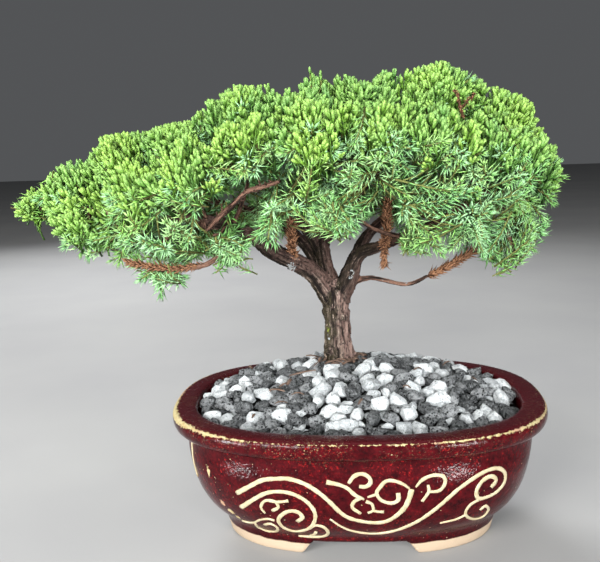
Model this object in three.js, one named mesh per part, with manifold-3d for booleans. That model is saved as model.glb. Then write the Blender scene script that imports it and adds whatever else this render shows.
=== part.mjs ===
// A garden juniper bonsai in an oval glazed pot: pot on four feet, soil, gravel,
// one grown trunk with its limbs, green foliage sprays and a few dead sprigs.
// Millimetres, +Z up, +X to the right of the front view and -Y towards the viewer.
// Pieces are placed from the ground under the pot's centre, and the finished plant
// is then moved to stand with the middle of its bounding box over the origin.
import * as THREE from "three";
import { ConvexGeometry } from "three/addons/geometries/ConvexGeometry.js";
import { mergeVertices } from "three/addons/utils/BufferGeometryUtils.js";
import Module from "manifold-3d";

const wasm = await Module();
wasm.setup();

// Fit between neighbouring pieces
const CLEARANCE = 0.35;
const WELD = 1e-4;

// Pot
const POT_HALF_LENGTH = 101.6;
const POT_HALF_WIDTH = 77.2;
const POT_HEIGHT = 71.3;
const OVAL_EXPONENT = 2.5;
const POT_SIDES = 36;
const UNDERSIDE_Z = 8.6;
const FLOOR_Z = 15.5;
const NOTCH_HEIGHT = 7.6;
const FRONT_NOTCH_HALF = { top: 23, bottom: 30 };
const END_NOTCH_HALF = { top: 14, bottom: 20 };
const DRAIN_RADIUS = 6;
const DRAIN_OFFSET = 34;

// Soil and gravel
const SOIL_TOP_Z = 57;
const SOIL_SIDES = POT_SIDES / 2;
const GRAVEL_EDGE_Z = 67;
const MOUND_RISE = 17;
const MOUND_CENTRE_Y = 14;
const PEBBLE_SPACING = 14;
const PEBBLE_SHOULDER = 0.74;
const PEBBLE_RISE = 4.4;

// Wood
const TRUNK_SIDES = 9;
const LIMB_SIDES = 5;
const TWIG_SIDES = 3;
const TWIG_RADIUS = 1.3;

// Foliage
const CORE_SHARE = 0.42;
const SHOOTS_PER_SQUARE_CM = 0.9;
const SHOOT_LIFT = 0.75;
const NEEDLE_RADIUS = 0.8;

const COLOURS = {
  glaze: { color: 0x4d1015, roughness: 0.18 },
  soil: { color: 0x2a211b, roughness: 0.95 },
  gravel: { color: 0x77797b, roughness: 0.9 },
  bark: { color: 0x5d463b, roughness: 0.85 },
  foliage: { color: 0x63a33f, roughness: 0.6 },
  deadFoliage: { color: 0x8f5a35, roughness: 0.8 },
};

// Small helpers

function seededRandom(seed) {
  let state = seed >>> 0;
  return () => {
    state = (state + 0x6d2b79f5) >>> 0;
    let t = Math.imul(state ^ (state >>> 15), state | 1);
    t ^= t + Math.imul(t ^ (t >>> 7), t | 61);
    return ((t ^ (t >>> 14)) >>> 0) / 4294967296;
  };
}

function toSolid(geometry) {
  const bare = new THREE.BufferGeometry();
  bare.setAttribute("position", geometry.getAttribute("position"));
  bare.setIndex(geometry.index);
  const merged = mergeVertices(bare, WELD);
  return new wasm.Manifold(
    new wasm.Mesh({
      numProp: 3,
      vertProperties: merged.attributes.position.array,
      triVerts: new Uint32Array(merged.index.array),
    }),
  );
}

function toGeometry(solid) {
  const mesh = solid.getMesh();
  const geometry = new THREE.BufferGeometry();
  const position = new THREE.BufferAttribute(mesh.vertProperties, mesh.numProp);
  geometry.setAttribute("position", position);
  geometry.setIndex(new THREE.BufferAttribute(mesh.triVerts, 1));
  const flat = geometry.toNonIndexed();
  flat.computeVertexNormals();
  return flat;
}

function trianglesToSolid(triangles) {
  const geometry = new THREE.BufferGeometry();
  const corners = triangles.flat().flatMap((corner) => corner.toArray());
  geometry.setAttribute("position", new THREE.Float32BufferAttribute(corners, 3));
  return toSolid(geometry);
}

// The biggest body of a solid: loose scraps left by a cut are dropped.
function mainBody(solid) {
  return solid.decompose().reduce((a, b) => (b.volume() > a.volume() ? b : a));
}

// Evenly spread directions over a ball.
function spreadDirection(i, count) {
  const turn = Math.PI * (3 - Math.sqrt(5)) * i;
  const z = 1 - (2 * i + 1) / count;
  const flat = Math.sqrt(1 - z * z);
  return new THREE.Vector3(flat * Math.cos(turn), flat * Math.sin(turn), z);
}

const group = new THREE.Group();

function addNode(name, solid, look) {
  const material = new THREE.MeshStandardMaterial({ ...look, metalness: 0 });
  const mesh = new THREE.Mesh(toGeometry(mainBody(solid)), material);
  mesh.name = name;
  group.add(mesh);
}

// Pot

const ENDS_BEYOND_SIDES = POT_HALF_LENGTH - POT_HALF_WIDTH;
const INSET_LIMIT = 60;

// Half width of the oval whose half length is given: a constant inset all round
// for the walls, and shrinking in proportion across the floor.
function halfWidthAt(halfLength) {
  if (halfLength >= INSET_LIMIT) return halfLength - ENDS_BEYOND_SIDES;
  return (halfLength * (INSET_LIMIT - ENDS_BEYOND_SIDES)) / INSET_LIMIT;
}

function ovalPoint(halfLength, turn) {
  const a = halfLength;
  const b = halfWidthAt(halfLength);
  const angle = Math.atan2(b * Math.sin(turn), a * Math.cos(turn));
  const c = Math.abs(Math.cos(angle) / a) ** OVAL_EXPONENT;
  const s = Math.abs(Math.sin(angle) / b) ** OVAL_EXPONENT;
  const reach = (c + s) ** (-1 / OVAL_EXPONENT);
  return [reach * Math.cos(angle), reach * Math.sin(angle)];
}

// A closed oval body from a profile of [half length, z], bottom to top.
function ovalLathe(profile, sides = POT_SIDES) {
  const points = profile.map(([a, z]) => new THREE.Vector2(a, z));
  const lathe = new THREE.LatheGeometry(points, sides).rotateX(Math.PI / 2);
  const position = lathe.getAttribute("position");
  for (let i = 0; i < position.count; i++) {
    const x = position.getX(i);
    const y = position.getY(i);
    const halfLength = Math.hypot(x, y);
    const onAxis = halfLength < WELD;
    position.setXY(i, ...(onAxis ? [0, 0] : ovalPoint(halfLength, Math.atan2(y, x))));
  }
  return toSolid(lathe);
}

const POT_PROFILE = [
  [0, UNDERSIDE_Z],
  [63, UNDERSIDE_Z],
  [65, 0],
  [73.5, 0],
  [75.6, 10.5],
  [85, 20],
  [90.3, 31],
  [92.8, 42],
  [94.2, 60.3],
  [98.8, 60.9],
  [101.6, 65.6],
  [100.6, 70],
  [98, POT_HEIGHT],
  [89.8, POT_HEIGHT],
  [88.2, 68],
  [86, 40],
  [80, 24],
  [72, FLOOR_Z + 1],
  [0, FLOOR_Z],
];

function notchCutter(half, reach) {
  const outline = new THREE.Shape();
  outline.moveTo(-half.bottom, -1);
  outline.lineTo(half.bottom, -1);
  outline.lineTo(half.top, NOTCH_HEIGHT);
  outline.lineTo(-half.top, NOTCH_HEIGHT);
  const cutter = new THREE.ExtrudeGeometry(outline, {
    depth: 2 * reach,
    bevelEnabled: false,
  });
  return cutter.translate(0, 0, -reach).rotateX(Math.PI / 2);
}

function makePot() {
  const frontNotch = notchCutter(FRONT_NOTCH_HALF, POT_HALF_WIDTH);
  const endNotch = notchCutter(END_NOTCH_HALF, POT_HALF_LENGTH).rotateZ(Math.PI / 2);
  const drains = [-DRAIN_OFFSET, DRAIN_OFFSET].map((x) => {
    const drain = new THREE.CylinderGeometry(DRAIN_RADIUS, DRAIN_RADIUS, 30, 14);
    return drain.rotateX(Math.PI / 2).translate(x, 0, FLOOR_Z);
  });
  return [frontNotch, endNotch, ...drains]
    .map(toSolid)
    .reduce((pot, cutter) => pot.subtract(cutter), ovalLathe(POT_PROFILE));
}

// Wood: every limb is a cylinder bent along a curve, thinning to its tip.
// Each route point is [x, y, z, radius].

const TRUNK = [
  [-9.5, 22, 46, 13],
  [-9.4, 22, 70, 12],
  [-9.3, 21.6, 86, 9.6],
  [-10, 20.6, 95, 7.6],
  [-10.3, 19.6, 107, 7.1],
  [-10.9, 19, 117, 7.6],
  [-11.3, 19, 127, 7.2],
];

const ROOTS = [
  [[-14, 20, 72, 6], [-38, 8, 58, 4], [-56, -4, 44, 2]],
  [[-4, 26, 72, 6], [16, 36, 56, 4], [30, 42, 42, 2]],
  [[-6, 16, 72, 6], [14, 0, 56, 4], [32, -14, 42, 2]],
  [[-14, 26, 72, 6], [-34, 38, 58, 4], [-48, 42, 44, 2]],
];

const LIMBS = {
  left: [
    [-12, 19, 119, 6], [-22, 16, 135.5, 5.6], [-31, 12, 143.5, 5.2], [-38, 8, 147.5, 4.9],
    [-46, 4, 153, 4.6], [-54, 0, 160, 4.2], [-65, -5, 167, 3.6], [-90, -9, 173, 3],
    [-122, -4, 176, 2.3], [-150, 6, 178, 1.7], [-172, 12, 180, 1.1],
  ],
  middle: [
    [-11, 20, 120, 6], [-16, 22, 138, 5], [-18, 26, 147, 4.7], [-18, 31, 156, 4.2],
    [-15, 36, 168, 3.6], [-8, 42, 184, 2.8], [0, 48, 200, 1.8],
  ],
  greyFork: [
    [-17, 25, 142, 3.8], [-25, 29, 157, 3.3], [-36, 33, 172, 2.7], [-58, 36, 204, 1.4],
  ],
  right: [
    [-10, 19, 119, 6], [-4.5, 17, 130, 5.2], [-1.2, 15.5, 138, 4.6], [1, 13.5, 144.5, 4],
    [5, 11, 149.5, 3.6], [12, 8, 152, 3.3], [24, 2, 157, 2.8], [42, -8, 166, 2.3],
    [60, -14, 177, 1.8], [76, -16, 186, 1.2],
  ],
  thinLow: [
    [-1, 16.5, 131.5, 2.2], [8, 15, 134, 1.7], [17, 13, 132.7, 1.5], [25.5, 11, 130.8, 1.4],
    [32, 9, 131.4, 1.3], [40, 7.2, 135.4, 1.2],
  ],
  backRight: [
    [-9, 21, 122, 5], [2, 34, 146, 3.8], [16, 48, 162, 3], [58, 62, 188, 1.3],
  ],
  backLeft: [
    [-14, 22, 130, 4.6], [-30, 38, 152, 3.6], [-54, 50, 168, 2.8], [-108, 48, 184, 1.2],
  ],
  upperRight: [
    [-17.5, 30, 153, 3.4], [-4, 26, 172, 2.8], [14, 22, 192, 2.2], [48, 20, 220, 1.2],
  ],
  farRight: [[12, 8, 152, 2.8], [36, 8, 160, 2.4], [62, 12, 172, 1.9], [86, 14, 182, 1.3]],
  shown: [
    [-82, -8, 171, 2.2], [-76, -22, 167, 2.1], [-69, -27, 173, 2], [-61, -29, 180, 1.9],
    [-52.5, -30, 187, 1.8], [-43, -31, 189.5, 1.6], [-36, -31, 191.5, 1.3],
  ],
  lowLeft: [
    [-63, -4, 166, 2.4], [-72, -12, 152, 1.8], [-84, -14, 146.5, 1.5], [-102, -12, 146, 1.2],
  ],
};

const DEAD_SPRIGS = {
  hanging: {
    route: [[16.5, 5.5, 153.5, 1.4], [16.8, -1, 157, 1.3], [18, -5, 167, 1.2], [18, -7, 177, 1]],
    needles: 13,
    reach: 4.2,
  },
  left: {
    route: [[-33, 11, 145, 1.5], [-34, 4, 153, 1.3], [-33.5, 0, 160, 1.2], [-33, -2, 167, 1]],
    needles: 13,
    reach: 5,
  },
  right: {
    route: [[40.8, 7, 135.7, 1.2], [49, 5, 139.8, 1.2], [57.5, 4, 145, 1.1], [66, 3, 150.5, 1]],
    needles: 16,
    reach: 4.4,
  },
};

const curveOf = (route) =>
  new THREE.CatmullRomCurve3(route.map(([x, y, z]) => new THREE.Vector3(x, y, z)));

function radiusAlong(route, along) {
  const spans = route.length - 1;
  const span = Math.min(spans - 1, Math.floor(along * spans));
  const part = along * spans - span;
  return route[span][3] * (1 - part) + route[span + 1][3] * part;
}

// One ring of corners at each route point, turned to face along the curve.
function bentTube(route, sides, grow = 0) {
  const curve = curveOf(route);
  const steps = route.length - 1;
  const tube = new THREE.CylinderGeometry(1, 1, 1, sides, steps);
  const position = tube.getAttribute("position");
  const frames = ringFrames(curve, steps);
  for (let i = 0; i < position.count; i++) {
    const along = 0.5 - position.getY(i);
    const step = Math.round(along * steps);
    const { tangent, across, beside } = frames[step];
    const radius = radiusAlong(route, along) + grow;
    const overrun = step === steps ? grow : step === 0 ? -grow : 0;
    const point = curve
      .getPoint(along)
      .addScaledVector(across, position.getX(i) * radius)
      .addScaledVector(beside, position.getZ(i) * radius)
      .addScaledVector(tangent, overrun);
    position.setXYZ(i, point.x, point.y, point.z);
  }
  return toSolid(tube);
}

// Axes at each ring, carried on from ring to ring so that the tube doesn't twist.
function ringFrames(curve, steps) {
  const first = curve.getTangent(0);
  const side = Math.abs(first.x) < 0.8 ? [1, 0, 0] : [0, 1, 0];
  let across = new THREE.Vector3(...side).cross(first).normalize();
  return Array.from({ length: steps + 1 }, (_, step) => {
    const tangent = curve.getTangent(step / steps);
    across = across.clone().addScaledVector(tangent, -across.dot(tangent)).normalize();
    return { tangent, across, beside: tangent.clone().cross(across) };
  });
}

// Foliage sprays: leafy shoots standing out all round from a slim core.
// Each spray is [x, y, z, half length, half depth, half height].

const SPRAYS = {
  left_tip: [-182, 14, 178, 14, 15, 11],
  left_end: [-157, 12, 187, 21, 23, 17],
  left_end_low: [-147, 6, 167, 21, 22, 15],
  left_crest: [-127, 14, 201, 23, 26, 22],
  left_crest_front: [-112, -16, 184, 22, 22, 20],
  left_crest_back: [-124, 40, 187, 23, 24, 21],
  left_low: [-119, 8, 162, 22, 24, 19],
  left_low_front: [-101, -20, 159, 21, 20, 18],
  left_low_back: [-104, 38, 162, 23, 24, 19],
  left_hanging: [-106, -4, 144, 19, 18, 14],
  mid_left_top: [-93, 13, 210, 23, 28, 22],
  mid_left_front: [-80, -28, 192, 22, 23, 21],
  mid_left_back: [-92, 56, 193, 23, 26, 22],
  mid_left_low: [-84, 11, 173, 22, 27, 18],
  mid_left_low_front: [-71, -28, 165, 21, 22, 19],
  mid_left_low_back: [-74, 56, 169, 22, 25, 19],
  mid_left_hanging: [-68, -12, 153, 15, 16, 12],
  crown_left_top: [-59, 15, 222, 23, 28, 23],
  crown_left_front: [-49, -31, 202, 22, 24, 22],
  crown_left_back: [-58, 60, 207, 23, 26, 23],
  crown_left_low: [-48, 13, 189, 22, 28, 18],
  crown_left_low_front: [-40, -34, 176, 21, 22, 19],
  crown_left_low_back: [-40, 62, 177, 22, 25, 19],
  crown_mid_left_top: [-24, 15, 221, 22, 28, 22],
  crown_mid_left_front: [-18, -33, 209, 22, 24, 22],
  crown_mid_left_back: [-22, 62, 211, 23, 26, 23],
  crown_mid_left_low: [-12, 15, 190, 22, 28, 18],
  crown_mid_low_front: [-7, -35, 180, 21, 23, 19],
  crown_mid_low_back: [-4, 62, 179, 22, 25, 19],
  crown_mid_right_top: [11, 15, 229, 22, 28, 23],
  crown_mid_right_front: [14, -35, 207, 22, 24, 22],
  crown_mid_right_back: [14, 62, 212, 23, 26, 23],
  crown_mid_right_low: [25, 15, 193, 22, 28, 18],
  crown_right_low_front: [26, -34, 179, 21, 22, 19],
  crown_right_low_back: [32, 62, 178, 22, 25, 19],
  crown_right_top: [47, 15, 232, 23, 28, 24],
  crown_right_front: [46, -33, 204, 22, 24, 22],
  crown_right_back: [49, 60, 211, 23, 26, 23],
  crown_right_low: [61, 11, 184, 22, 27, 20],
  right_low_front: [58, -29, 172, 22, 22, 20],
  right_low_back: [65, 54, 174, 23, 25, 20],
  right_top: [81, 14, 216, 22, 26, 21],
  right_front: [78, -23, 195, 22, 23, 21],
  right_back: [82, 50, 196, 22, 25, 22],
  right_end: [101, 12, 190, 20, 24, 20],
  right_end_low: [87, 8, 162, 20, 24, 18],
  right_hanging: [85, -11, 147, 15, 15, 12],
  centre_low_front: [28, -14, 158, 17, 16, 13],
};

const sprayList = Object.entries(SPRAYS).map(([name, [x, y, z, a, b, c]], i) => ({
  name: `spray_${name}`,
  seed: 1000 + i,
  centre: new THREE.Vector3(x, y, z),
  radii: new THREE.Vector3(a, b, c),
  size: (a + b + c) / 3,
}));

// The room between sprays is shared out: each keeps to its own side of a plane
// across the line to each neighbour, nearer to the smaller of the two.
function sharedPlanes(spray) {
  return sprayList
    .filter((other) => other !== spray)
    .map((other) => {
      const normal = other.centre.clone().sub(spray.centre);
      const apart = normal.length();
      const lead = (spray.size ** 2 - other.size ** 2) / apart;
      return { normal: normal.normalize(), share: (apart + lead - CLEARANCE) / 2 };
    });
}

// An arm from the spray's centre, shortened where it would leave its own room.
function withinShare(arm, planes) {
  const shares = planes
    .map(({ normal, share }) => share / Math.max(arm.dot(normal), WELD))
    .concat(1);
  return arm.multiplyScalar(Math.min(...shares));
}

// A shoot's tip in the unit ball, grown from its place on the core: upright on
// top, outward and up at the sides, and outward underneath.
function shootTip(place, random) {
  const lift = place.z > -0.3 ? SHOOT_LIFT : 0.1;
  const grown = place.clone().add(new THREE.Vector3(0, 0, lift)).normalize();
  grown.x += 0.16 * (random() - 0.5);
  grown.y += 0.16 * (random() - 0.5);
  grown.normalize();
  const reach = 0.9 + 0.18 * random();
  const lean = CORE_SHARE * place.dot(grown);
  const length = Math.sqrt(lean ** 2 - CORE_SHARE ** 2 + reach ** 2) - lean;
  return place.clone().multiplyScalar(CORE_SHARE).addScaledVector(grown, length);
}

// The core is a ball of three-cornered facets, and a three-sided shoot stands on
// each facet. A shoot and the core under it are one wedge from the spray's centre.
function makeSpray(spray, room) {
  const random = seededRandom(spray.seed);
  const planes = sharedPlanes(spray);
  const shoots = (4 * Math.PI * spray.size ** 2 * SHOOTS_PER_SQUARE_CM) / 100;
  const corners = Math.round(shoots / 2) + 2;
  const start = 2 * Math.PI * random();
  const upright = new THREE.Vector3(0, 0, 1);
  const ball = Array.from({ length: corners }, (_, i) =>
    spreadDirection(i, corners).applyAxisAngle(upright, start),
  );
  const facets = new ConvexGeometry(ball).getAttribute("position");
  const place = (point) =>
    withinShare(point.multiply(spray.radii), planes).add(spray.centre);
  const wedges = [];
  for (let i = 0; i < facets.count; i += 3) {
    const facet = [0, 1, 2].map((k) => new THREE.Vector3().fromBufferAttribute(facets, i + k));
    const middle = facet[0].clone().add(facet[1]).add(facet[2]).normalize();
    const tip = place(shootTip(middle, random));
    const roots = facet.map((corner) => place(corner.multiplyScalar(CORE_SHARE)));
    const faces = [0, 1, 2].flatMap((k) => {
      const [from, to] = [roots[k], roots[(k + 1) % 3]];
      return [[from, to, tip], [to, from, spray.centre]];
    });
    wedges.push(trianglesToSolid(faces));
  }
  return wasm.Manifold.union(wedges).subtract(room);
}

// Twigs run from the nearest limb to the middle of each spray.
function twigRoutes() {
  const anchors = Object.values(LIMBS).flatMap((route) =>
    curveOf(route).getPoints(route.length * 3),
  );
  const nearest = (centre) =>
    anchors.reduce((a, b) => (b.distanceTo(centre) < a.distanceTo(centre) ? b : a));
  return sprayList
    .map(({ centre, size }) => ({ start: nearest(centre), centre, size }))
    .filter(({ start, centre, size }) => start.distanceTo(centre) > CORE_SHARE * size)
    .map(({ start, centre }) =>
      [start, centre].map((point) => [...point.toArray(), TWIG_RADIUS]),
    );
}

// All the wood as one solid; grown by a clearance it is the room other pieces leave.
function woodSolid(grow) {
  return wasm.Manifold.union([
    bentTube(TRUNK, TRUNK_SIDES, grow),
    ...ROOTS.map((route) => bentTube(route, LIMB_SIDES, grow)),
    ...Object.values(LIMBS).map((route) => bentTube(route, LIMB_SIDES, grow)),
    ...twigRoutes().map((route) => bentTube(route, TWIG_SIDES, grow)),
  ]);
}

// A three-sided needle with its root sunk into the stem it grows from.
function needleSolid(root, tip) {
  const along = tip.clone().sub(root);
  const length = along.length();
  const needle = new THREE.ConeGeometry(NEEDLE_RADIUS, length, 3, 1);
  needle.translate(0, length / 2, 0);
  const up = new THREE.Vector3(0, 1, 0);
  needle.applyQuaternion(new THREE.Quaternion().setFromUnitVectors(up, along.normalize()));
  return toSolid(needle.translate(root.x, root.y, root.z));
}

// Dead sprigs: a brown stem with short needles standing forward from it.
function makeSprig({ route, needles, reach }, seed) {
  const random = seededRandom(seed);
  const curve = curveOf(route);
  const parts = [bentTube(route, TWIG_SIDES + 1)];
  for (let i = 0; i < needles; i++) {
    const along = 0.3 + (0.68 * (i + 0.5)) / needles;
    const root = curve.getPoint(along);
    const forward = curve.getTangent(along);
    const out = spreadDirection(i, needles).projectOnPlane(forward).normalize();
    out.addScaledVector(forward, 0.5 + 0.5 * random()).normalize();
    const tip = root.clone().addScaledVector(out, reach * (0.8 + 0.4 * random()));
    parts.push(needleSolid(root, tip));
  }
  return wasm.Manifold.union(parts);
}

function sprigRoom({ route, reach }) {
  const wide = route.map(([x, y, z]) => [x, y, z, reach]);
  return bentTube(wide, LIMB_SIDES + 1, 1);
}

// Soil and gravel

const SOIL_PROFILE = [
  [0, FLOOR_Z + CLEARANCE],
  [72 - CLEARANCE, FLOOR_Z + 1 + CLEARANCE],
  [80 - CLEARANCE, 24 + CLEARANCE],
  [86 - CLEARANCE, 40],
  [87.3 - CLEARANCE, SOIL_TOP_Z],
  [0, SOIL_TOP_Z],
];

const GRAVEL_ROOM = [
  [0, SOIL_TOP_Z + CLEARANCE],
  [87.3 - CLEARANCE, SOIL_TOP_Z + CLEARANCE],
  [88.2 - CLEARANCE, 68],
  [88.2 - CLEARANCE, 120],
  [0, 120],
];

function moundHeight(x, y) {
  const across = (y - MOUND_CENTRE_Y) / (POT_HALF_WIDTH - 10);
  const along = x / (POT_HALF_LENGTH - 10);
  const fall = Math.min(1, along * along + across * across);
  return GRAVEL_EDGE_Z + MOUND_RISE * (1 - fall) ** 1.1;
}

// Pebbles lie side by side in shaken rows, each row half a pebble further along.
function pebbleGrid() {
  const random = seededRandom(77);
  const centres = new Map();
  for (let row = -9; row <= 9; row++) {
    for (let column = -13; column <= 13; column++) {
      const x = column + 0.5 * row + 0.36 * (random() - 0.5);
      const y = 0.866 * row + 0.36 * (random() - 0.5);
      const centre = new THREE.Vector2(x, y).multiplyScalar(PEBBLE_SPACING);
      centres.set(`${column},${row}`, centre);
    }
  }
  return centres;
}

// The six neighbours of a pebble as steps of column and row, turning left.
const AROUND = [[1, 0], [0, 1], [-1, 1], [-1, 0], [0, -1], [1, -1]];

// Each pebble is a six-sided stone with a tilted three-cornered top; every low
// corner is shared by the three stones that meet there.
function makePebble(centre, neighbours, random) {
  const low = neighbours.map((side, k) => {
    const next = neighbours[(k + 1) % 6];
    const x = (centre.x + side.x + next.x) / 3;
    const y = (centre.y + side.y + next.y) / 3;
    return new THREE.Vector3(x, y, moundHeight(x, y));
  });
  const [tiltX, tiltY] = [0.4 * (random() - 0.5), 0.4 * (random() - 0.5)];
  const height = moundHeight(centre.x, centre.y) + PEBBLE_RISE * (0.75 + 0.5 * random());
  const first = random() < 0.5 ? 0 : 1;
  const around = [0, 1, 2, 3, 4, 5].map((k) => low[(k + first) % 6]);
  const top = [around[0], around[2], around[4]].map((corner) => {
    const dx = (corner.x - centre.x) * PEBBLE_SHOULDER;
    const dy = (corner.y - centre.y) * PEBBLE_SHOULDER;
    return new THREE.Vector3(centre.x + dx, centre.y + dy, height + dx * tiltX + dy * tiltY);
  });
  const sides = [0, 1, 2].flatMap((k) => {
    const [here, between, next] = [0, 1, 2].map((step) => around[(2 * k + step) % 6]);
    const [topHere, topNext] = [top[k], top[(k + 1) % 3]];
    return [
      [here, between, topHere],
      [between, next, topNext],
      [between, topNext, topHere],
    ];
  });
  const base = low.map((corner) => new THREE.Vector3(corner.x, corner.y, FLOOR_Z));
  const under = [1, 2, 3, 4].map((k) => [base[0], base[k + 1], base[k]]);
  return { low, base, triangles: [top, ...sides, ...under] };
}

function makeGravel(room) {
  const random = seededRandom(31);
  const centres = pebbleGrid();
  const besides = (key) => {
    const [column, row] = key.split(",").map(Number);
    return AROUND.map(([c, r]) => `${column + c},${row + r}`);
  };
  const pebbles = new Map();
  for (const [key, centre] of centres) {
    const neighbours = besides(key).map((beside) => centres.get(beside));
    const inReach =
      Math.abs(centre.x) < POT_HALF_LENGTH + 2 && Math.abs(centre.y) < POT_HALF_WIDTH + 2;
    if (inReach && neighbours.every(Boolean)) {
      pebbles.set(key, makePebble(centre, neighbours, random));
    }
  }
  const triangles = [];
  for (const [key, { low, base, triangles: own }] of pebbles) {
    triangles.push(...own);
    besides(key).forEach((beside, n) => {
      if (pebbles.has(beside)) return;
      const k = (n + 5) % 6;
      triangles.push([low[n], low[k], base[k]], [low[n], base[k], base[n]]);
    });
  }
  return trianglesToSolid(triangles)
    .intersect(ovalLathe(GRAVEL_ROOM))
    .subtract(room);
}

// Assembly

const woodRoom = woodSolid(CLEARANCE);
const sprigRooms = Object.values(DEAD_SPRIGS).map(sprigRoom);
const leafRoom = wasm.Manifold.union([woodRoom, ...sprigRooms]);

addNode("pot", makePot(), COLOURS.glaze);
addNode("soil", ovalLathe(SOIL_PROFILE, SOIL_SIDES).subtract(woodRoom), COLOURS.soil);
addNode("gravel", makeGravel(woodRoom), COLOURS.gravel);
addNode("trunk_and_limbs", woodSolid(0), COLOURS.bark);
Object.entries(DEAD_SPRIGS).forEach(([name, sprig], i) => {
  const solid = makeSprig(sprig, 500 + i).subtract(woodRoom);
  addNode(`dead_sprig_${name}`, solid, COLOURS.deadFoliage);
});
for (const spray of sprayList) {
  addNode(spray.name, makeSpray(spray, leafRoom), COLOURS.foliage);
}

const middle = new THREE.Box3().setFromObject(group).getCenter(new THREE.Vector3());
group.position.set(-middle.x, -middle.y, 0);

export default group;
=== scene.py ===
"""Looks of a garden juniper bonsai and its glazed oval pot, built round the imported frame.

The object is measured in millimetres from the middle of the pot at floor level. A finished
piece is placed in one step, when its mesh becomes metres in the row's frame.
"""

import logging
import math
import random
from dataclasses import dataclass, field
from enum import Enum
from typing import Sequence

import bmesh
import bpy
import numpy as np
from mathutils import Matrix, Vector, kdtree, noise


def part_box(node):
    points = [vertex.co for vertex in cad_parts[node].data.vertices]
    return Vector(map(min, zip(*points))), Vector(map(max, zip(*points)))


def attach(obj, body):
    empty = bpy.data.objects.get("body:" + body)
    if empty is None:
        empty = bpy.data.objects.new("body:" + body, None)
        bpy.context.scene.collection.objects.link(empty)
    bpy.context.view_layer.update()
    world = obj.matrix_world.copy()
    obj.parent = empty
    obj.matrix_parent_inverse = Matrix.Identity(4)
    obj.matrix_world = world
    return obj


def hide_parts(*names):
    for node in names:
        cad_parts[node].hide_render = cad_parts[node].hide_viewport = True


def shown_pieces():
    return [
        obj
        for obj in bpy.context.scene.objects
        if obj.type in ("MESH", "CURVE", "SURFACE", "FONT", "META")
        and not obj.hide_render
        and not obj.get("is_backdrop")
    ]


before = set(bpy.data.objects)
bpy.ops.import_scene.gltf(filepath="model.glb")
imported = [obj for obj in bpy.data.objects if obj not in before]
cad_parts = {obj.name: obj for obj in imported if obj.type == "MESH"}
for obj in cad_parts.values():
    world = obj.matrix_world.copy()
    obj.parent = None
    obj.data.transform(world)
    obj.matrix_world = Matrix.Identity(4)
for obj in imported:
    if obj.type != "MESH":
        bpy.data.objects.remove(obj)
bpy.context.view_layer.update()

LOG = logging.getLogger("bonsai")

MM = 0.001
POT_LOW, POT_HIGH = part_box("pot")
POT_MIDDLE = Vector(((POT_LOW.x + POT_HIGH.x) / 2, (POT_LOW.y + POT_HIGH.y) / 2, 0.0))
PLACE = Matrix.Translation(POT_MIDDLE) @ Matrix.Scale(MM, 4)
UP = Vector((0.0, 0.0, 1.0))
GOLDEN_TURN = math.pi * (3 - math.sqrt(5))
NOISE_SEED = 7

BMesh = bmesh.types.BMesh
Material = bpy.types.Material
Mesh = bpy.types.Mesh
Socket = bpy.types.NodeSocket
Colour = tuple[float, float, float]
Value = Socket | float
Place = tuple[float, float, float]
Spot = tuple[float, float, float, float]


class Slot(Enum):
    """The record's material slots that a piece can take its finish from."""

    POT = "glazed_pot"
    GRAVEL = "gravel"
    BARK = "bark"
    FOLIAGE = "foliage"
    DEAD = "dead_foliage"


class Habit(Enum):
    """How steeply a spray's skin has to face upwards to bear blunt shoots and no needles."""

    CREST = -0.55
    SHOULDER = -0.05
    FACE = 0.32
    NEEDLES = 0.85


# ---- finishes


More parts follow.
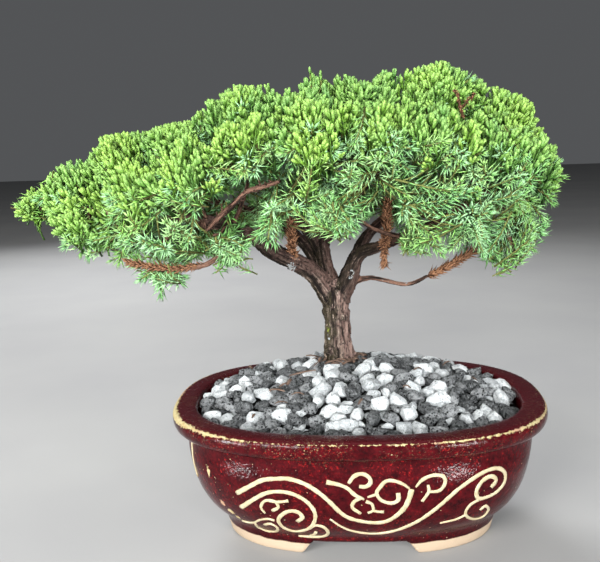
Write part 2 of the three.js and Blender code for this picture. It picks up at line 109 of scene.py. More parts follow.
class Recipe:
    """A material's node tree while it is being put together."""

    def __init__(self, name: str) -> None:
        """Starts a material with one shader joined to its output.

        Args:
            name: The material's name.
        """
        self.material = bpy.data.materials.new(name)
        self.material.use_nodes = True
        self.tree = self.material.node_tree
        self.tree.nodes.clear()
        self.shader = self.node("ShaderNodeBsdfPrincipled")
        output = self.node("ShaderNodeOutputMaterial")
        self.tree.links.new(self.shader.outputs["BSDF"], output.inputs["Surface"])
        self.object_space = self.node("ShaderNodeTexCoord").outputs["Object"]

    def node(self, kind: str, **settings: object) -> bpy.types.Node:
        """Adds a node.

        Args:
            kind: Blender's name of the node type.
            settings: Properties to set on it.

        Returns:
            The node.
        """
        made = self.tree.nodes.new(kind)
        for key, value in settings.items():
            setattr(made, key, value)
        return made

    def feed(self, target: Socket, source: Value | Sequence[float]) -> None:
        """Joins a socket to an input, or sets the input to a constant.

        Args:
            target: The input.
            source: The socket, the number or the row of numbers.
        """
        if isinstance(source, Socket):
            self.tree.links.new(source, target)
        elif isinstance(source, (int, float)):
            target.default_value = source
        else:
            opaque = [1.0] if target.type == "RGBA" and len(source) == 3 else []
            target.default_value = [*source, *opaque]

    def space(self, stretch: Sequence[float] = (1, 1, 1), source: str = "") -> Socket:
        """Gives the coordinates that a pattern lies in.

        Args:
            stretch: How much denser the pattern is along each axis.
            source: A vector attribute of the mesh, or nothing for Object coordinates.

        Returns:
            The coordinates' socket.
        """
        base = self.object_space
        if source:
            base = self.node("ShaderNodeAttribute", attribute_name=source).outputs["Vector"]
        mapping = self.node("ShaderNodeMapping")
        self.feed(mapping.inputs["Vector"], base)
        self.feed(mapping.inputs["Scale"], stretch)
        return mapping.outputs["Vector"]

    def attribute(self, name: str) -> Socket:
        """Gives a number that the mesh carries."""
        return self.node("ShaderNodeAttribute", attribute_name=name).outputs["Fac"]

    def height(self) -> Socket:
        """Gives the height above the floor, in metres."""
        split = self.node("ShaderNodeSeparateXYZ")
        self.feed(split.inputs[0], self.object_space)
        return split.outputs["Z"]

    def gap_to(self, place: Vector, wide_mm: float, tall_mm: float) -> Socket:
        """Gives how many half sizes a point is from a place, in the object's metres.

        Args:
            place: The middle.
            wide_mm: The half size across.
            tall_mm: The half height.

        Returns:
            The number of half sizes.
        """
        near = (1 / (wide_mm * MM), 1 / (wide_mm * MM), 1 / (tall_mm * MM))
        made = self.node("ShaderNodeVectorMath", operation="DISTANCE")
        self.feed(made.inputs[0], self.space(near))
        self.feed(made.inputs[1], [a * b for a, b in zip(place, near)])
        return made.outputs["Value"]

    def texture(self, kind: str, size_mm: float, space: Socket | None = None) -> bpy.types.Node:
        """Adds a texture on Object coordinates, or on others that are given.

        Args:
            kind: Blender's name of its node type.
            size_mm: The pattern's size.
            space: The coordinates, or nothing for Object coordinates.

        Returns:
            The texture's node.
        """
        made = self.node(kind)
        self.feed(made.inputs["Vector"], self.object_space if space is None else space)
        self.feed(made.inputs["Scale"], 1 / (size_mm * MM))
        return made

    def noise(
        self, size_mm: float, detail: float = 3.0, rough: float = 0.5, space: Socket | None = None
    ) -> Socket:
        """Gives cloudy noise whose patches are about size_mm across.

        Args:
            size_mm: The patches' size.
            detail: How many finer layers it has.
            rough: How strong these are.
            space: As for a texture.

        Returns:
            The noise, from 0 to 1.
        """
        made = self.texture("ShaderNodeTexNoise", size_mm, space)
        self.feed(made.inputs["Detail"], detail)
        self.feed(made.inputs["Roughness"], rough)
        return made.outputs["Fac"]

    def cells(self, size_mm: float, colour: bool = False) -> Socket:
        """Gives the distance to the middle of cells size_mm across, or a random number a cell.

        Args:
            size_mm: The cells' size.
            colour: Whether the random number is wanted.

        Returns:
            The distance or the number.
        """
        made = self.texture("ShaderNodeTexVoronoi", size_mm)
        if not colour:
            return made.outputs["Distance"]
        split = self.node("ShaderNodeSeparateColor")
        self.feed(split.inputs[0], made.outputs["Color"])
        return split.outputs[0]

    def ramp(self, share: Socket, *stops: tuple[float, Colour]) -> Socket:
        """Gives a colour from a row of stops, each a place and a colour.

        Args:
            share: The place along the row, from 0 to 1.
            stops: The stops.

        Returns:
            The colour.
        """
        made = self.node("ShaderNodeValToRGB")
        row = made.color_ramp.elements
        while len(row) < len(stops):
            row.new(0.5)
        for element, (place, colour) in zip(row, stops):
            element.position = place
            element.color = (*colour, 1.0)
        self.feed(made.inputs["Fac"], share)
        return made.outputs["Color"]

    def blend(
        self, share: Value, first: Socket | Colour, second: Socket | Colour, kind: str = "MIX"
    ) -> Socket:
        """Gives a colour between two colours, or one laid on the other.

        Args:
            share: How much of the second there is.
            first: The colour under it.
            second: The colour on top.
            kind: Blender's name of the way they mix.

        Returns:
            The colour.
        """
        made = self.node("ShaderNodeMix", data_type="RGBA", blend_type=kind)
        self.feed(made.inputs[0], share)
        self.feed(made.inputs[6], first)
        self.feed(made.inputs[7], second)
        return made.outputs[2]

    def step(self, kind: str, first: Value, second: Value) -> Socket:
        """Gives the result of one arithmetic step."""
        made = self.node("ShaderNodeMath", operation=kind)
        self.feed(made.inputs[0], first)
        self.feed(made.inputs[1], second)
        return made.outputs[0]

    def plus(self, first: Value, second: Value) -> Socket:
        """Adds two values."""
        return self.step("ADD", first, second)

    def less(self, first: Value, second: Value) -> Socket:
        """Takes the second value from the first."""
        return self.step("SUBTRACT", first, second)

    def times(self, first: Value, second: Value) -> Socket:
        """Multiplies two values."""
        return self.step("MULTIPLY", first, second)

    def most(self, first: Value, second: Value) -> Socket:
        """Gives the larger of two values."""
        return self.step("MAXIMUM", first, second)

    def spread(
        self, value: Socket, low: float, high: float, to_low: float = 0.0, to_high: float = 1.0,
        soft: bool = False,
    ) -> Socket:
        """Gives a value carried from one range to another, held at its ends.

        Args:
            value: The value.
            low: Where the first range starts.
            high: Where it ends.
            to_low: What its start becomes.
            to_high: What its end becomes.
            soft: Whether it eases in and out.

        Returns:
            The carried value.
        """
        curve = "SMOOTHSTEP" if soft else "LINEAR"
        made = self.node("ShaderNodeMapRange", interpolation_type=curve)
        for place, number in enumerate((low, high, to_low, to_high), start=1):
            self.feed(made.inputs[place], number)
        self.feed(made.inputs[0], value)
        return made.outputs[0]

    def bump(self, height: Socket, depth_mm: float, under: Socket | None = None) -> Socket:
        """Gives the surface's direction once a relief depth_mm deep is laid on it.

        Args:
            height: The relief, from 0 to 1.
            depth_mm: Its depth.
            under: The direction that it is laid on.

        Returns:
            The direction.
        """
        made = self.node("ShaderNodeBump")
        self.feed(made.inputs["Height"], height)
        self.feed(made.inputs["Distance"], depth_mm * MM)
        self.feed(made.inputs["Strength"], 1.0)
        if under is not None:
            self.feed(made.inputs["Normal"], under)
        return made.outputs["Normal"]

    def done(
        self, colour: Socket, roughness: Value, normal: Socket, shine: float = 0.15
    ) -> Material:
        """Joins the last sockets to the shader.

        Args:
            colour: The surface colour.
            roughness: How matt it is.
            normal: The surface's direction.
            shine: The specular level.

        Returns:
            The material.
        """
        inputs = self.shader.inputs
        self.feed(inputs["Base Color"], colour)
        self.feed(inputs["Roughness"], roughness)
        self.feed(inputs["Normal"], normal)
        self.feed(inputs["Specular IOR Level"], shine)
        return self.material


@dataclass(frozen=True)
class Glaze:
    """Dark red stoneware glaze that breaks to cream clay where it runs thin."""

    deep: Colour = (0.009, 0.0008, 0.0013)
    red: Colour = (0.036, 0.0018, 0.0030)
    spark: Colour = (0.14, 0.006, 0.006)
    plum: Colour = (0.032, 0.0032, 0.0048)
    clay: Colour = (0.20, 0.145, 0.058)
    light_clay: Colour = (0.29, 0.26, 0.15)
    pink_clay: Colour = (0.25, 0.135, 0.095)
    foot_clay: Colour = (0.24, 0.185, 0.13)
    foot_line_mm: float = 6.4
    shine: float = 0.12

    def make(self, chips: Sequence[tuple[Vector, float, float]]) -> Material:
        """Builds the material. It reads the mesh's wear and lip attributes.

        Args:
            chips: Where a flake of glaze is gone: each one's place, width and height.

        Returns:
            The material.
        """
        r = Recipe("burgundy_glaze")
        fine, broad = r.noise(1.5, 4, 0.7), r.noise(24, 3)
        body = r.blend(r.spread(r.noise(4.5, 6, 0.75), 0.36, 0.64), self.deep, self.red)
        flecks = r.times(r.spread(fine, 0.56, 0.68), r.spread(broad, 0.42, 0.58))
        body = r.blend(flecks, body, self.spark)
        body = r.blend(r.attribute("lip"), body, self.plum)
        pool = r.spread(r.height(), 6.5 * MM, 11 * MM)
        body = r.blend(r.times(r.less(1.0, pool), 0.75), body, self.deep)
        bare = self.bare(r, broad, chips)
        clay = r.blend(r.spread(r.noise(1.6, 5, 0.75), 0.38, 0.60), self.clay, self.light_clay)
        pink = r.spread(r.noise(15, 2), 0.50, 0.60, 0.0, 0.75)
        clay = r.blend(pink, clay, self.pink_clay)
        clay = r.blend(r.spread(r.height(), 9 * MM, 7 * MM), clay, self.foot_clay)
        gloss = r.spread(r.noise(5, 3), 0.35, 0.7, 0.07, 0.17)
        gloss = r.plus(gloss, r.times(r.attribute("lip"), 0.16))
        normal = r.bump(r.spread(r.height(), 41 * MM, 58 * MM, 1.0, 0.0, soft=True), 3.2)
        normal = r.bump(r.noise(3.4, 2), 0.22, normal)
        normal = r.bump(r.noise(1.1, 2), 0.17, normal)
        normal = r.bump(bare, 0.25, normal)
        colour, rough = r.blend(bare, body, clay), r.plus(gloss, r.times(bare, 0.5))
        return r.done(colour, rough, normal, self.shine)

    def bare(
        self, r: Recipe, broad: Socket, chips: Sequence[tuple[Vector, float, float]]
    ) -> Socket:
        """Works out where the clay shows.

        Args:
            r: The recipe.
            broad: The noise that also spreads the flecks.
            chips: The flakes, as make takes them.

        Returns:
            1 on bare clay and 0 on glaze.
        """
        ragged = r.times(r.less(r.noise(2.2, 4, 0.7), 0.5), 1.5)
        worn = r.spread(r.plus(r.attribute("wear"), ragged), 0.50, 0.60)
        wave = r.times(r.less(r.noise(9, 2), 0.5), 1.6 * MM)
        line, edge = r.plus(r.height(), wave), 0.35
        above, below = (self.foot_line_mm + edge) * MM, (self.foot_line_mm - edge) * MM
        bare = r.most(worn, r.spread(line, above, below))
        torn = r.times(r.less(r.noise(1.8, 4, 0.75), 0.5), 2.6)
        for place, wide, tall in chips:
            gap = r.plus(r.gap_to(PLACE @ place, wide, tall), torn)
            bare = r.most(bare, r.spread(gap, 1.0, 0.85))
        pin = r.times(r.spread(r.cells(2.4), 0.16, 0.10), r.spread(r.cells(2.4, True), 0.86, 0.90))
        bare = r.most(bare, r.times(pin, 0.8))
        dust = r.times(
            r.spread(r.noise(0.9, 3, 0.7), 0.60, 0.68),
            r.spread(r.height(), 56 * MM, 67 * MM),
        )
        return r.most(bare, r.times(dust, r.spread(broad, 0.45, 0.60, 0.0, 0.75)))


@dataclass(frozen=True)
class CreamSlip:
    """Unglazed cream clay of the raised scrollwork."""

    light: Colour = (0.29, 0.255, 0.17)
    warm: Colour = (0.22, 0.18, 0.105)
    speck: Colour = (0.17, 0.08, 0.05)

    def make(self) -> Material:
        """Builds the material."""
        r = Recipe("cream_slip")
        cloud = r.noise(5, 3)
        grit = r.noise(0.7, 3, 0.7)
        colour = r.blend(r.spread(cloud, 0.35, 0.75), self.light, self.warm)
        colour = r.blend(r.spread(grit, 0.62, 0.8), colour, self.speck)
        return r.done(colour, r.spread(cloud, 0.3, 0.7, 0.42, 0.6), r.bump(grit, 0.15))


@dataclass(frozen=True)
class Stone:
    """Porous stone: a light and a dark tone between which each stone has its own, with painted
    shade in its pits and in the hollows of its grain.
    """

    name: str
    dark: Colour
    light: Colour
    # The pits' colour is painted shade.
    pit_shade: Colour
    pit_size_mm: float
    pit_share: float
    pit_depth_mm: float
    grain_depth_mm: float = 1.6

    def make(self) -> Material:
        """Builds the material. It reads each stone's own tone attribute."""
        r = Recipe(self.name)
        tone = r.attribute("tone")
        grain = r.noise(1.9, 6, 0.82)
        body = r.blend(r.spread(tone, 0.0, 1.0, 0.15, 0.95), self.dark, self.light)
        speck = r.spread(r.noise(1.1, 4, 0.7), 0.50, 0.62, 0.0, 0.65)
        body = r.blend(speck, body, self.light)
        # Painted shade: darker in the hollows of the grain's relief.
        body = r.blend(r.spread(grain, 0.50, 0.40, 0.0, 0.85), body, self.dark)
        holes = r.cells(self.pit_size_mm)
        deep = r.spread(holes, self.pit_share, self.pit_share * 0.55)
        small = r.spread(r.cells(self.pit_size_mm * 0.45), 0.30, 0.16)
        pits = r.most(deep, r.times(small, 0.7))
        pits = r.times(pits, r.spread(r.noise(4, 2), 0.36, 0.55))
        # Painted shade: the pits, which the bump also sinks, are coloured near-black.
        colour = r.blend(pits, body, self.pit_shade)
        normal = r.bump(grain, self.grain_depth_mm)
        normal = r.bump(r.less(1.0, pits), self.pit_depth_mm, normal)
        return r.done(colour, r.spread(grain, 0.3, 0.7, 0.72, 0.95), normal)


GREY_STONE = Stone(
    "grey_stone", dark=(0.019, 0.021, 0.022), light=(0.235, 0.245, 0.25),
    pit_shade=(0.003, 0.0035, 0.004), pit_size_mm=1.5, pit_share=0.44, pit_depth_mm=1.2,
    grain_depth_mm=2.4,
)
WHITE_STONE = Stone(
    "white_stone", dark=(0.21, 0.225, 0.23), light=(0.46, 0.48, 0.485), pit_shade=(0.05, 0.055, 0.06),
    pit_size_mm=1.4, pit_share=0.24, pit_depth_mm=0.45, grain_depth_mm=1.2,
)


@dataclass(frozen=True)
class Grit:
    """Fine grit and soil between the stones, painted darker in the gaps between grains. Its default
    near-black colours are painted shade for the gaps between the stones, over the grit's own dark
    tone.
    """

    name: str = "dark_grit"
    # Near-black: painted shade for the gaps between the stones, over the grit's own dark tone.
    dark: Colour = (0.002, 0.002, 0.002)
    light: Colour = (0.013, 0.012, 0.011)

    def make(self) -> Material:
        """Builds the material."""
        r = Recipe(self.name)
        grains = r.cells(1.3)
        tint = r.cells(1.3, True)
        colour = r.blend(r.spread(tint, 0.2, 1.0), self.dark, self.light)
        # Painted shade: darker in the gaps between the grains.
        colour = r.blend(r.spread(grains, 0.35, 0.7), colour, self.dark)
        return r.done(colour, 0.95, r.bump(r.less(1.0, grains), 0.9))


POTTING_SOIL = Grit("potting_soil", dark=(0.018, 0.012, 0.008), light=(0.09, 0.06, 0.04))


@dataclass(frozen=True)
class Bark:
    """Old juniper bark: grey brown strips and reddish young wood, with painted shade in its furrows
    and a painted lit side and shaded side.
    """

    # Near-black painted shade for the furrows and the hollows of the relief.
    furrow_shade: Colour = (0.004, 0.0025, 0.002)
    brown: Colour = (0.009, 0.0058, 0.0043)
    grey: Colour = (0.110, 0.085, 0.068)
    # The next two tones paint a lit side and a shaded side, mixed with patchy bark colour: painted
    # light.
    lit_mauve: Colour = (0.146, 0.093, 0.079)
    shaded_olive: Colour = (0.022, 0.0185, 0.008)
    young: Colour = (0.160, 0.088, 0.062)
    young_dark: Colour = (0.026, 0.012, 0.009)
    flake: Colour = (0.30, 0.24, 0.20)
    limb_shade: Colour = (0.30, 0.255, 0.245)
    pale: Colour = (0.17, 0.180, 0.180)
    moss: Colour = (0.050, 0.062, 0.012)
    moss_tip: Colour = (0.13, 0.14, 0.03)

    def make(self) -> Material:
        """Builds the material. It reads the grain, girth, pale and moss attributes, the furrows'
        cut, which it paints as shade, and the side each point faces, which it paints as a lit side
        and a shaded side.
        """
        r = Recipe("juniper_bark")
        along = r.space((1, 1, 0.8), "grain")
        strips = r.noise(2.9, 6, 0.72, along)
        flakes = r.noise(0.9, 4, 0.7, along)
        patches = r.noise(7, 4, 0.6)
        body = r.blend(r.spread(strips, 0.46, 0.60), self.brown, self.grey)
        # Painted light: lighter and pinker on the side facing +X, darker olive on the side facing
        # -X, mixed with patchy bark tone.
        lit_side = r.plus(r.attribute("lit_side"), r.less(patches, 0.5))
        body = r.blend(r.spread(lit_side, 0.45, 0.75, 0.0, 0.75), body, self.lit_mauve)
        body = r.blend(r.spread(lit_side, 0.48, 0.22, 0.0, 0.75), body, self.shaded_olive)
        body = r.blend(r.spread(flakes, 0.57, 0.65, 0.0, 0.9), body, self.flake)
        limb = r.spread(r.attribute("girth"), 6.9, 5.2, 0.0, 0.85)
        body = r.blend(limb, body, self.limb_shade, "MULTIPLY")
        young = r.blend(r.spread(strips, 0.38, 0.62), self.young_dark, self.young)
        body = r.blend(r.spread(r.attribute("girth"), 3.4, 2.2), body, young)
        # Painted shade: near-black in the hollows of the strips and flakes and along the cut
        # furrows.
        body = r.blend(r.spread(strips, 0.48, 0.40), body, self.furrow_shade)
        body = r.blend(r.spread(flakes, 0.43, 0.33, 0.0, 0.9), body, self.furrow_shade)
        body = r.blend(r.attribute("furrow_shade"), body, self.furrow_shade)
        broken = r.noise(1.6, 4, 0.7)
        pale = r.times(r.attribute("pale"), r.spread(broken, 0.42, 0.56, 0.1, 1.5))
        body = r.blend(r.spread(pale, 0.4, 0.6), body, self.pale)
        moss = r.times(r.attribute("moss"), r.spread(broken, 0.3, 0.6, 0.5, 1.4))
        moss = r.spread(moss, 0.4, 0.6)
        green = r.blend(r.spread(broken, 0.4, 0.65), self.moss, self.moss_tip)
        body = r.blend(moss, body, green)
        normal = r.bump(strips, 2.2)
        normal = r.bump(flakes, 0.8, normal)
        normal = r.bump(r.times(moss, broken), 0.8, normal)
        return r.done(body, r.spread(strips, 0.3, 0.7, 0.78, 0.95), normal)


@dataclass(frozen=True)
class Greenery:
    """A green of the foliage that runs from root to tip and shifts from cluster to cluster."""

    name: str
    roots: tuple[Colour, Colour]
    middles: tuple[Colour, Colour]
    tips: tuple[Colour, Colour]
    scale_mm: float
    relief_mm: float
    seam: float
    faces: tuple[Colour, Colour] | None = None
    shine: float = 0.3

    def make(self) -> Material:
        """Builds the material. It reads the tip, tone and face attributes."""
        r = Recipe(self.name)
        tip, tone = r.attribute("tip"), r.attribute("tone")
        rows = [
            r.ramp(tip, (0.0, self.roots[k]), (0.45, self.middles[k]), (1.0, self.tips[k]))
            for k in (0, 1)
        ]
        colour = r.blend(tone, rows[0], rows[1])
        scales = r.cells(self.scale_mm)
        mottle = r.noise(1.0, 3, 0.6)
        seams = r.spread(scales, 0.35, 0.75, 0.0, self.seam)
        colour = r.blend(seams, colour, self.roots[0], "MULTIPLY")
        if self.faces is not None:
            face = r.blend(tone, *self.faces)
            colour = r.blend(r.times(r.attribute("face"), 0.8), colour, face)
        colour = r.blend(r.spread(mottle, 0.55, 0.8, 0.0, 0.3), colour, self.tips[1])
        normal = r.bump(r.less(1.0, scales), self.relief_mm)
        return r.done(colour, r.spread(mottle, 0.3, 0.7, 0.36, 0.52), normal, self.shine)


GREEN_SHOOTS = Greenery(
    "green_shoots",
    roots=((0.012, 0.040, 0.004), (0.008, 0.033, 0.009)),
    middles=((0.085, 0.178, 0.018), (0.038, 0.116, 0.026)),
    tips=((0.215, 0.350, 0.072), (0.125, 0.255, 0.080)),
    scale_mm=0.95, relief_mm=0.35, seam=0.40,
)
GREEN_NEEDLES = Greenery(
    "blue_green_needles",
    roots=((0.040, 0.105, 0.014), (0.028, 0.088, 0.024)),
    middles=((0.125, 0.265, 0.040), (0.090, 0.225, 0.072)),
    tips=((0.220, 0.375, 0.095), (0.175, 0.345, 0.145)),
    scale_mm=2.5, relief_mm=0.1, seam=0.12,
    faces=((0.240, 0.380, 0.125), (0.205, 0.360, 0.205)),
)


@dataclass(frozen=True)
class Tinder:
    """Dead brown needles or thin woody twigs."""

    name: str
    dark: Colour
    middle: Colour
    light: Colour

    def make(self) -> Material:
        """Builds the material. It reads the tip and tone attributes."""
        r = Recipe(self.name)
        grain = r.noise(0.9, 4, 0.65, r.space((1, 1, 0.5)))
        colour = r.ramp(r.attribute("tip"), (0.0, self.dark), (0.4, self.middle), (1.0, self.light))
        colour = r.blend(r.times(r.attribute("tone"), 0.5), colour, self.light)
        colour = r.blend(r.spread(grain, 0.5, 0.75, 0.0, 0.8), colour, self.dark)
        return r.done(colour, r.spread(grain, 0.3, 0.7, 0.65, 0.9), r.bump(grain, 0.3))


WOODY_TWIG = Tinder("woody_twig", (0.030, 0.024, 0.009), (0.085, 0.090, 0.026), (0.15, 0.18, 0.05))
DEAD_NEEDLES = Tinder(
    "dead_needles", (0.009, 0.0035, 0.002), (0.044, 0.018, 0.009), (0.22, 0.112, 0.060)
)
DRY_LITTER = Tinder("dry_litter", (0.03, 0.018, 0.013), (0.085, 0.056, 0.042), (0.17, 0.13, 0.10))


@dataclass(frozen=True)
class PalePlaster:
    """The studio's plain pale floor."""

    dark: Colour = (0.235, 0.235, 0.235)
    light: Colour = (0.26, 0.26, 0.255)

    def make(self) -> Material:
        """Builds the material."""
        r = Recipe("pale_floor")
        cloud = r.noise(180, 3)
        colour = r.blend(r.spread(cloud, 0.3, 0.7), self.dark, self.light)
        return r.done(colour, 0.85, r.bump(r.noise(2.0, 3), 0.05))


# ---- mesh helpers


def curve_through(points: Sequence[Sequence[float]], step: float) -> list[list[float]]:
    """Samples a smooth curve through points of any number of coordinates.

    Args:
        points: The points, whose first three (or two) coordinates are a place.
        step: The distance wanted between samples.

    Returns:
        The samples, the first and last point among them.
    """
    rows = np.array(points, float)
    padded = np.vstack([2 * rows[0] - rows[1], rows, 2 * rows[-1] - rows[-2]])
    places = min(3, rows.shape[1])
    out: list[list[float]] = []
    for k in range(len(rows) - 1):
        a, b, c, d = padded[k : k + 4]
        count = max(1, round(float(np.linalg.norm((c - b)[:places])) / step))
        for t in (i / count for i in range(count)):
            line = 2 * b + (c - a) * t
            bend = (2 * a - 5 * b + 4 * c - d) * t * t
            out.append(list(0.5 * (line + bend + (3 * b - a - 3 * c + d) * t**3)))
    out.append(list(rows[-1]))
    return out


def frames_along(path: Sequence[Vector], start_side: Vector | None = None) -> list[Matrix]:
    """Carries a set of axes along a path without twist.

    Args:
        path: The path's points.
        start_side: The wanted direction of the first X axis.

    Returns:
        For each point a matrix whose Z axis follows the path.
    """
    ahead = [
        (path[min(k + 1, len(path) - 1)] - path[max(k - 1, 0)]).normalized()
        for k in range(len(path))
    ]
    side = start_side or (Vector((1, 0, 0)) if abs(ahead[0].x) < 0.8 else Vector((0, 1, 0)))
    made = []
    for point, z_axis in zip(path, ahead):
        side = (side - z_axis * side.dot(z_axis)).normalized()
        across = z_axis.cross(side)
        matrix = Matrix((side, across, z_axis)).transposed().to_4x4()
        matrix.translation = point
        made.append(matrix)
    return made


def vertices_of(made: Sequence[object]) -> list[bmesh.types.BMVert]:
    """Picks out the vertices that an operator made."""
    return [part for part in made if isinstance(part, bmesh.types.BMVert)]


def draw_out(bm: BMesh, face: bmesh.types.BMFace, move: Matrix, first: bool) -> bmesh.types.BMFace:
    """Extrudes a tube's end face and moves it on.

    Args:
        bm: The mesh.
        face: The end face.
        move: The step to the next ring.
        first: Whether the tube starts here, so that the old face stays and closes it.

    Returns:
        The new end face.
    """
    if first:
        made = bmesh.ops.extrude_face_region(bm, geom=[face])["geom"]
        face = next(part for part in made if isinstance(part, bmesh.types.BMFace))
    else:
        face = bmesh.ops.extrude_discrete_faces(bm, faces=[face])["faces"][0]
    bmesh.ops.transform(bm, matrix=move, verts=list(face.verts))
    return face


def grow(
    bm: BMesh,
    frames: Sequence[Matrix],
    sizes: Sequence[tuple[float, float]],
    sides: int,
    tip_push: float = 0.0,
    values: Sequence[float] | None = None,
    material: int = 0,
) -> list[bmesh.types.BMFace]:
    """Extrudes a ring along a row of frames into a closed tube.

    Args:
        bm: The mesh that grows.
        frames: One set of axes for each ring, Z along the tube.
        sizes: Each ring's half width and half thickness.
        sides: The ring's corners.
        tip_push: How far the middle of the end face is drawn out beyond it.
        values: The tip attribute of each ring, with one more for the drawn out tip.
        material: The faces' material slot.

    Returns:
        The tube's faces.
    """
    layer = bm.verts.layers.float.get("tip")
    shaped = [
        frame_ @ Matrix.Diagonal((wide, thick, max(wide, thick), 1.0))
        for frame_, (wide, thick) in zip(frames, sizes)
    ]
    ring = bmesh.ops.create_circle(
        bm, cap_ends=True, segments=sides, radius=1.0, matrix=shaped[0]
    )["verts"]
    face = ring[0].link_faces[0]
    faces = {face}
    if values is not None:
        for vert in ring:
            vert[layer] = values[0]
    for k in range(1, len(shaped)):
        if k > 1:
            faces.discard(face)
        face = draw_out(bm, face, shaped[k] @ shaped[k - 1].inverted(), k == 1)
        faces.update(f for v in face.verts for f in v.link_faces)
        if values is not None:
            for vert in face.verts:
                vert[layer] = values[k]
    if tip_push:
        faces.discard(face)
        poked = bmesh.ops.poke(bm, faces=[face])
        middle = poked["verts"][0]
        middle.co += frames[-1].to_3x3() @ Vector((0, 0, tip_push))
        faces.update(middle.link_faces)
        if values is not None:
            middle[layer] = values[-1]
    for f in faces:
        f.material_index = material
    return list(faces)


def new_mesh(layers: bool = True) -> BMesh:
    """Starts a bmesh, with the foliage's attributes if they are wanted."""
    bm = bmesh.new()
    if layers:
        bm.verts.layers.float.new("tip")
        bm.verts.layers.float.new("tone")
        bm.faces.layers.float.new("face")
    return bm


def to_mesh(bm: BMesh, name: str, recalc: bool = True) -> Mesh:
    """Turns a bmesh into a mesh with its faces pointing outwards, and frees it.

    Args:
        bm: The bmesh.
        name: The mesh's name.
        recalc: Whether the faces still need turning.

    Returns:
        The mesh.
    """
    if recalc:
        bmesh.ops.recalc_face_normals(bm, faces=bm.faces[:])
    mesh = bpy.data.meshes.new(name)
    bm.to_mesh(mesh)
    bm.free()
    return mesh


def stand(name: str, data: bpy.types.ID) -> bpy.types.Object:
    """Makes an object of some data and puts it in the scene."""
    made = bpy.data.objects.new(name, data)
    bpy.context.scene.collection.objects.link(made)
    return made


def evaluated(mesh: Mesh, *modifiers: tuple[str, dict[str, object]]) -> Mesh:
    """Runs modifiers on a mesh.

    Args:
        mesh: The mesh, which is used up.
        modifiers: Each one's type and settings.

    Returns:
        The mesh that they make.
    """
    holder = stand("holder", mesh)
    for kind, settings in modifiers:
        modifier = holder.modifiers.new(kind.lower(), kind)
        for key, value in settings.items():
            setattr(modifier, key, value)
    graph = bpy.context.evaluated_depsgraph_get()
    made = bpy.data.meshes.new_from_object(holder.evaluated_get(graph), depsgraph=graph)
    bpy.data.objects.remove(holder)
    bpy.data.meshes.remove(mesh)
    return made


def coordinates(mesh: Mesh) -> np.ndarray:
    """Gives a mesh's points as rows."""
    out = np.empty(len(mesh.vertices) * 3, np.float32)
    mesh.vertices.foreach_get("co", out)
    return out.reshape(-1, 3).astype(float)


def triangles(mesh: Mesh) -> int:
    """Counts the triangles that a mesh's faces come to."""
    return sum(len(p.vertices) - 2 for p in mesh.polygons)


def drift(rng: random.Random, spread: float = 1.0) -> Vector:
    """Draws a random vector, one number for each axis in turn."""
    return Vector([rng.gauss(0, spread) for _ in range(3)])


def carry(mesh: Mesh, name: str, values: np.ndarray) -> None:
    """Gives a mesh's points a number each, or a vector each.

    Args:
        mesh: The mesh.
        name: The attribute's name.
        values: A row for each point.
    """
    kind = "FLOAT" if values.ndim == 1 else "FLOAT_VECTOR"
    layer = mesh.attributes.get(name) or mesh.attributes.new(name, kind, "POINT")
    key = "value" if values.ndim == 1 else "vector"
    layer.data.foreach_set(key, values.astype(np.float32).ravel())


def place_piece(
    mesh: Mesh,
    name: str,
    materials: Sequence[Material],
    slot: Slot,
    *nodes: str,
    smooth: bool = True,
) -> bpy.types.Object:
    """Makes a finished piece of the object in the row's frame.

    Args:
        mesh: Its mesh in millimetres from the middle of the pot.
        name: Its name.
        materials: Its materials in slot order.
        slot: The record's slot it takes its finish from. It is not used.
        nodes: The CAD nodes it stands for.
        smooth: Whether its faces are shaded smoothly.

    Returns:
        The object.
    """
    mesh.transform(PLACE)
    mesh.name = name
    mesh.polygons.foreach_set("use_smooth", np.full(len(mesh.polygons), smooth))
    for material in materials:
        mesh.materials.append(material)
    piece = stand(name, mesh)
    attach(piece, "root")
    if nodes:
        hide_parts(*nodes)
    LOG.info("%s: %d triangles", name, triangles(mesh))
    return piece


class Bunch:
    """Copies of small shapes, gathered into one mesh by batches so that it stays quick."""

    def __init__(self, batch: int = 24) -> None:
        """Starts an empty bunch whose batches hold that many copies."""
        self.batch, self.count = batch, 0
        self.batches: list[Mesh] = []
        self.bm = new_mesh()

    def add(self, shape: Mesh, place: Matrix, tone: float | None = None) -> None:
        """Adds a copy of a shape, with its own tone from 0 to 1 if one is given.

        Args:
            shape: The shape.
            place: Where the copy goes.
            tone: The copy's tone.
        """
        copy = shape.copy()
        copy.transform(place)
        if tone is not None:
            carry(copy, "tone", np.full(len(copy.vertices), tone))
        self.bm.from_mesh(copy)
        bpy.data.meshes.remove(copy)
        self.count += 1
        if self.count % self.batch == 0:
            self.close_batch()

    def close_batch(self) -> None:
        """Puts the open batch away and starts the next."""
        self.batches.append(to_mesh(self.bm, "batch", recalc=False))
        self.bm = new_mesh()

    def mesh(self, name: str) -> Mesh:
        """Gives everything as one mesh."""
        self.close_batch()
        whole = new_mesh()
        for part in self.batches:
            whole.from_mesh(part)
            bpy.data.meshes.remove(part)
        return to_mesh(whole, name, recalc=False)


def frame_on(
    base: Vector, axis: Vector, upper: Vector, roll: float, scale: Sequence[float]
) -> Matrix:
    """Gives axes at a place, Z along axis and X as near to upper as it can be.

    Args:
        base: The place.
        axis: The direction of Z.
        upper: The wanted direction of X.
        roll: A turn about Z.
        scale: Stretch along the three axes.

    Returns:
        The matrix.
    """
    axis = axis.normalized()
    side = upper - axis * upper.dot(axis)
    if side.length < 0.05:
        side = Vector((1, 0, 0)) - axis * axis.x
    side.normalize()
    matrix = Matrix((side, axis.cross(side), axis)).transposed().to_4x4()
    matrix.translation = base
    return matrix @ Matrix.Rotation(roll, 4, "Z") @ Matrix.Diagonal((*scale, 1.0))


# ---- the pot


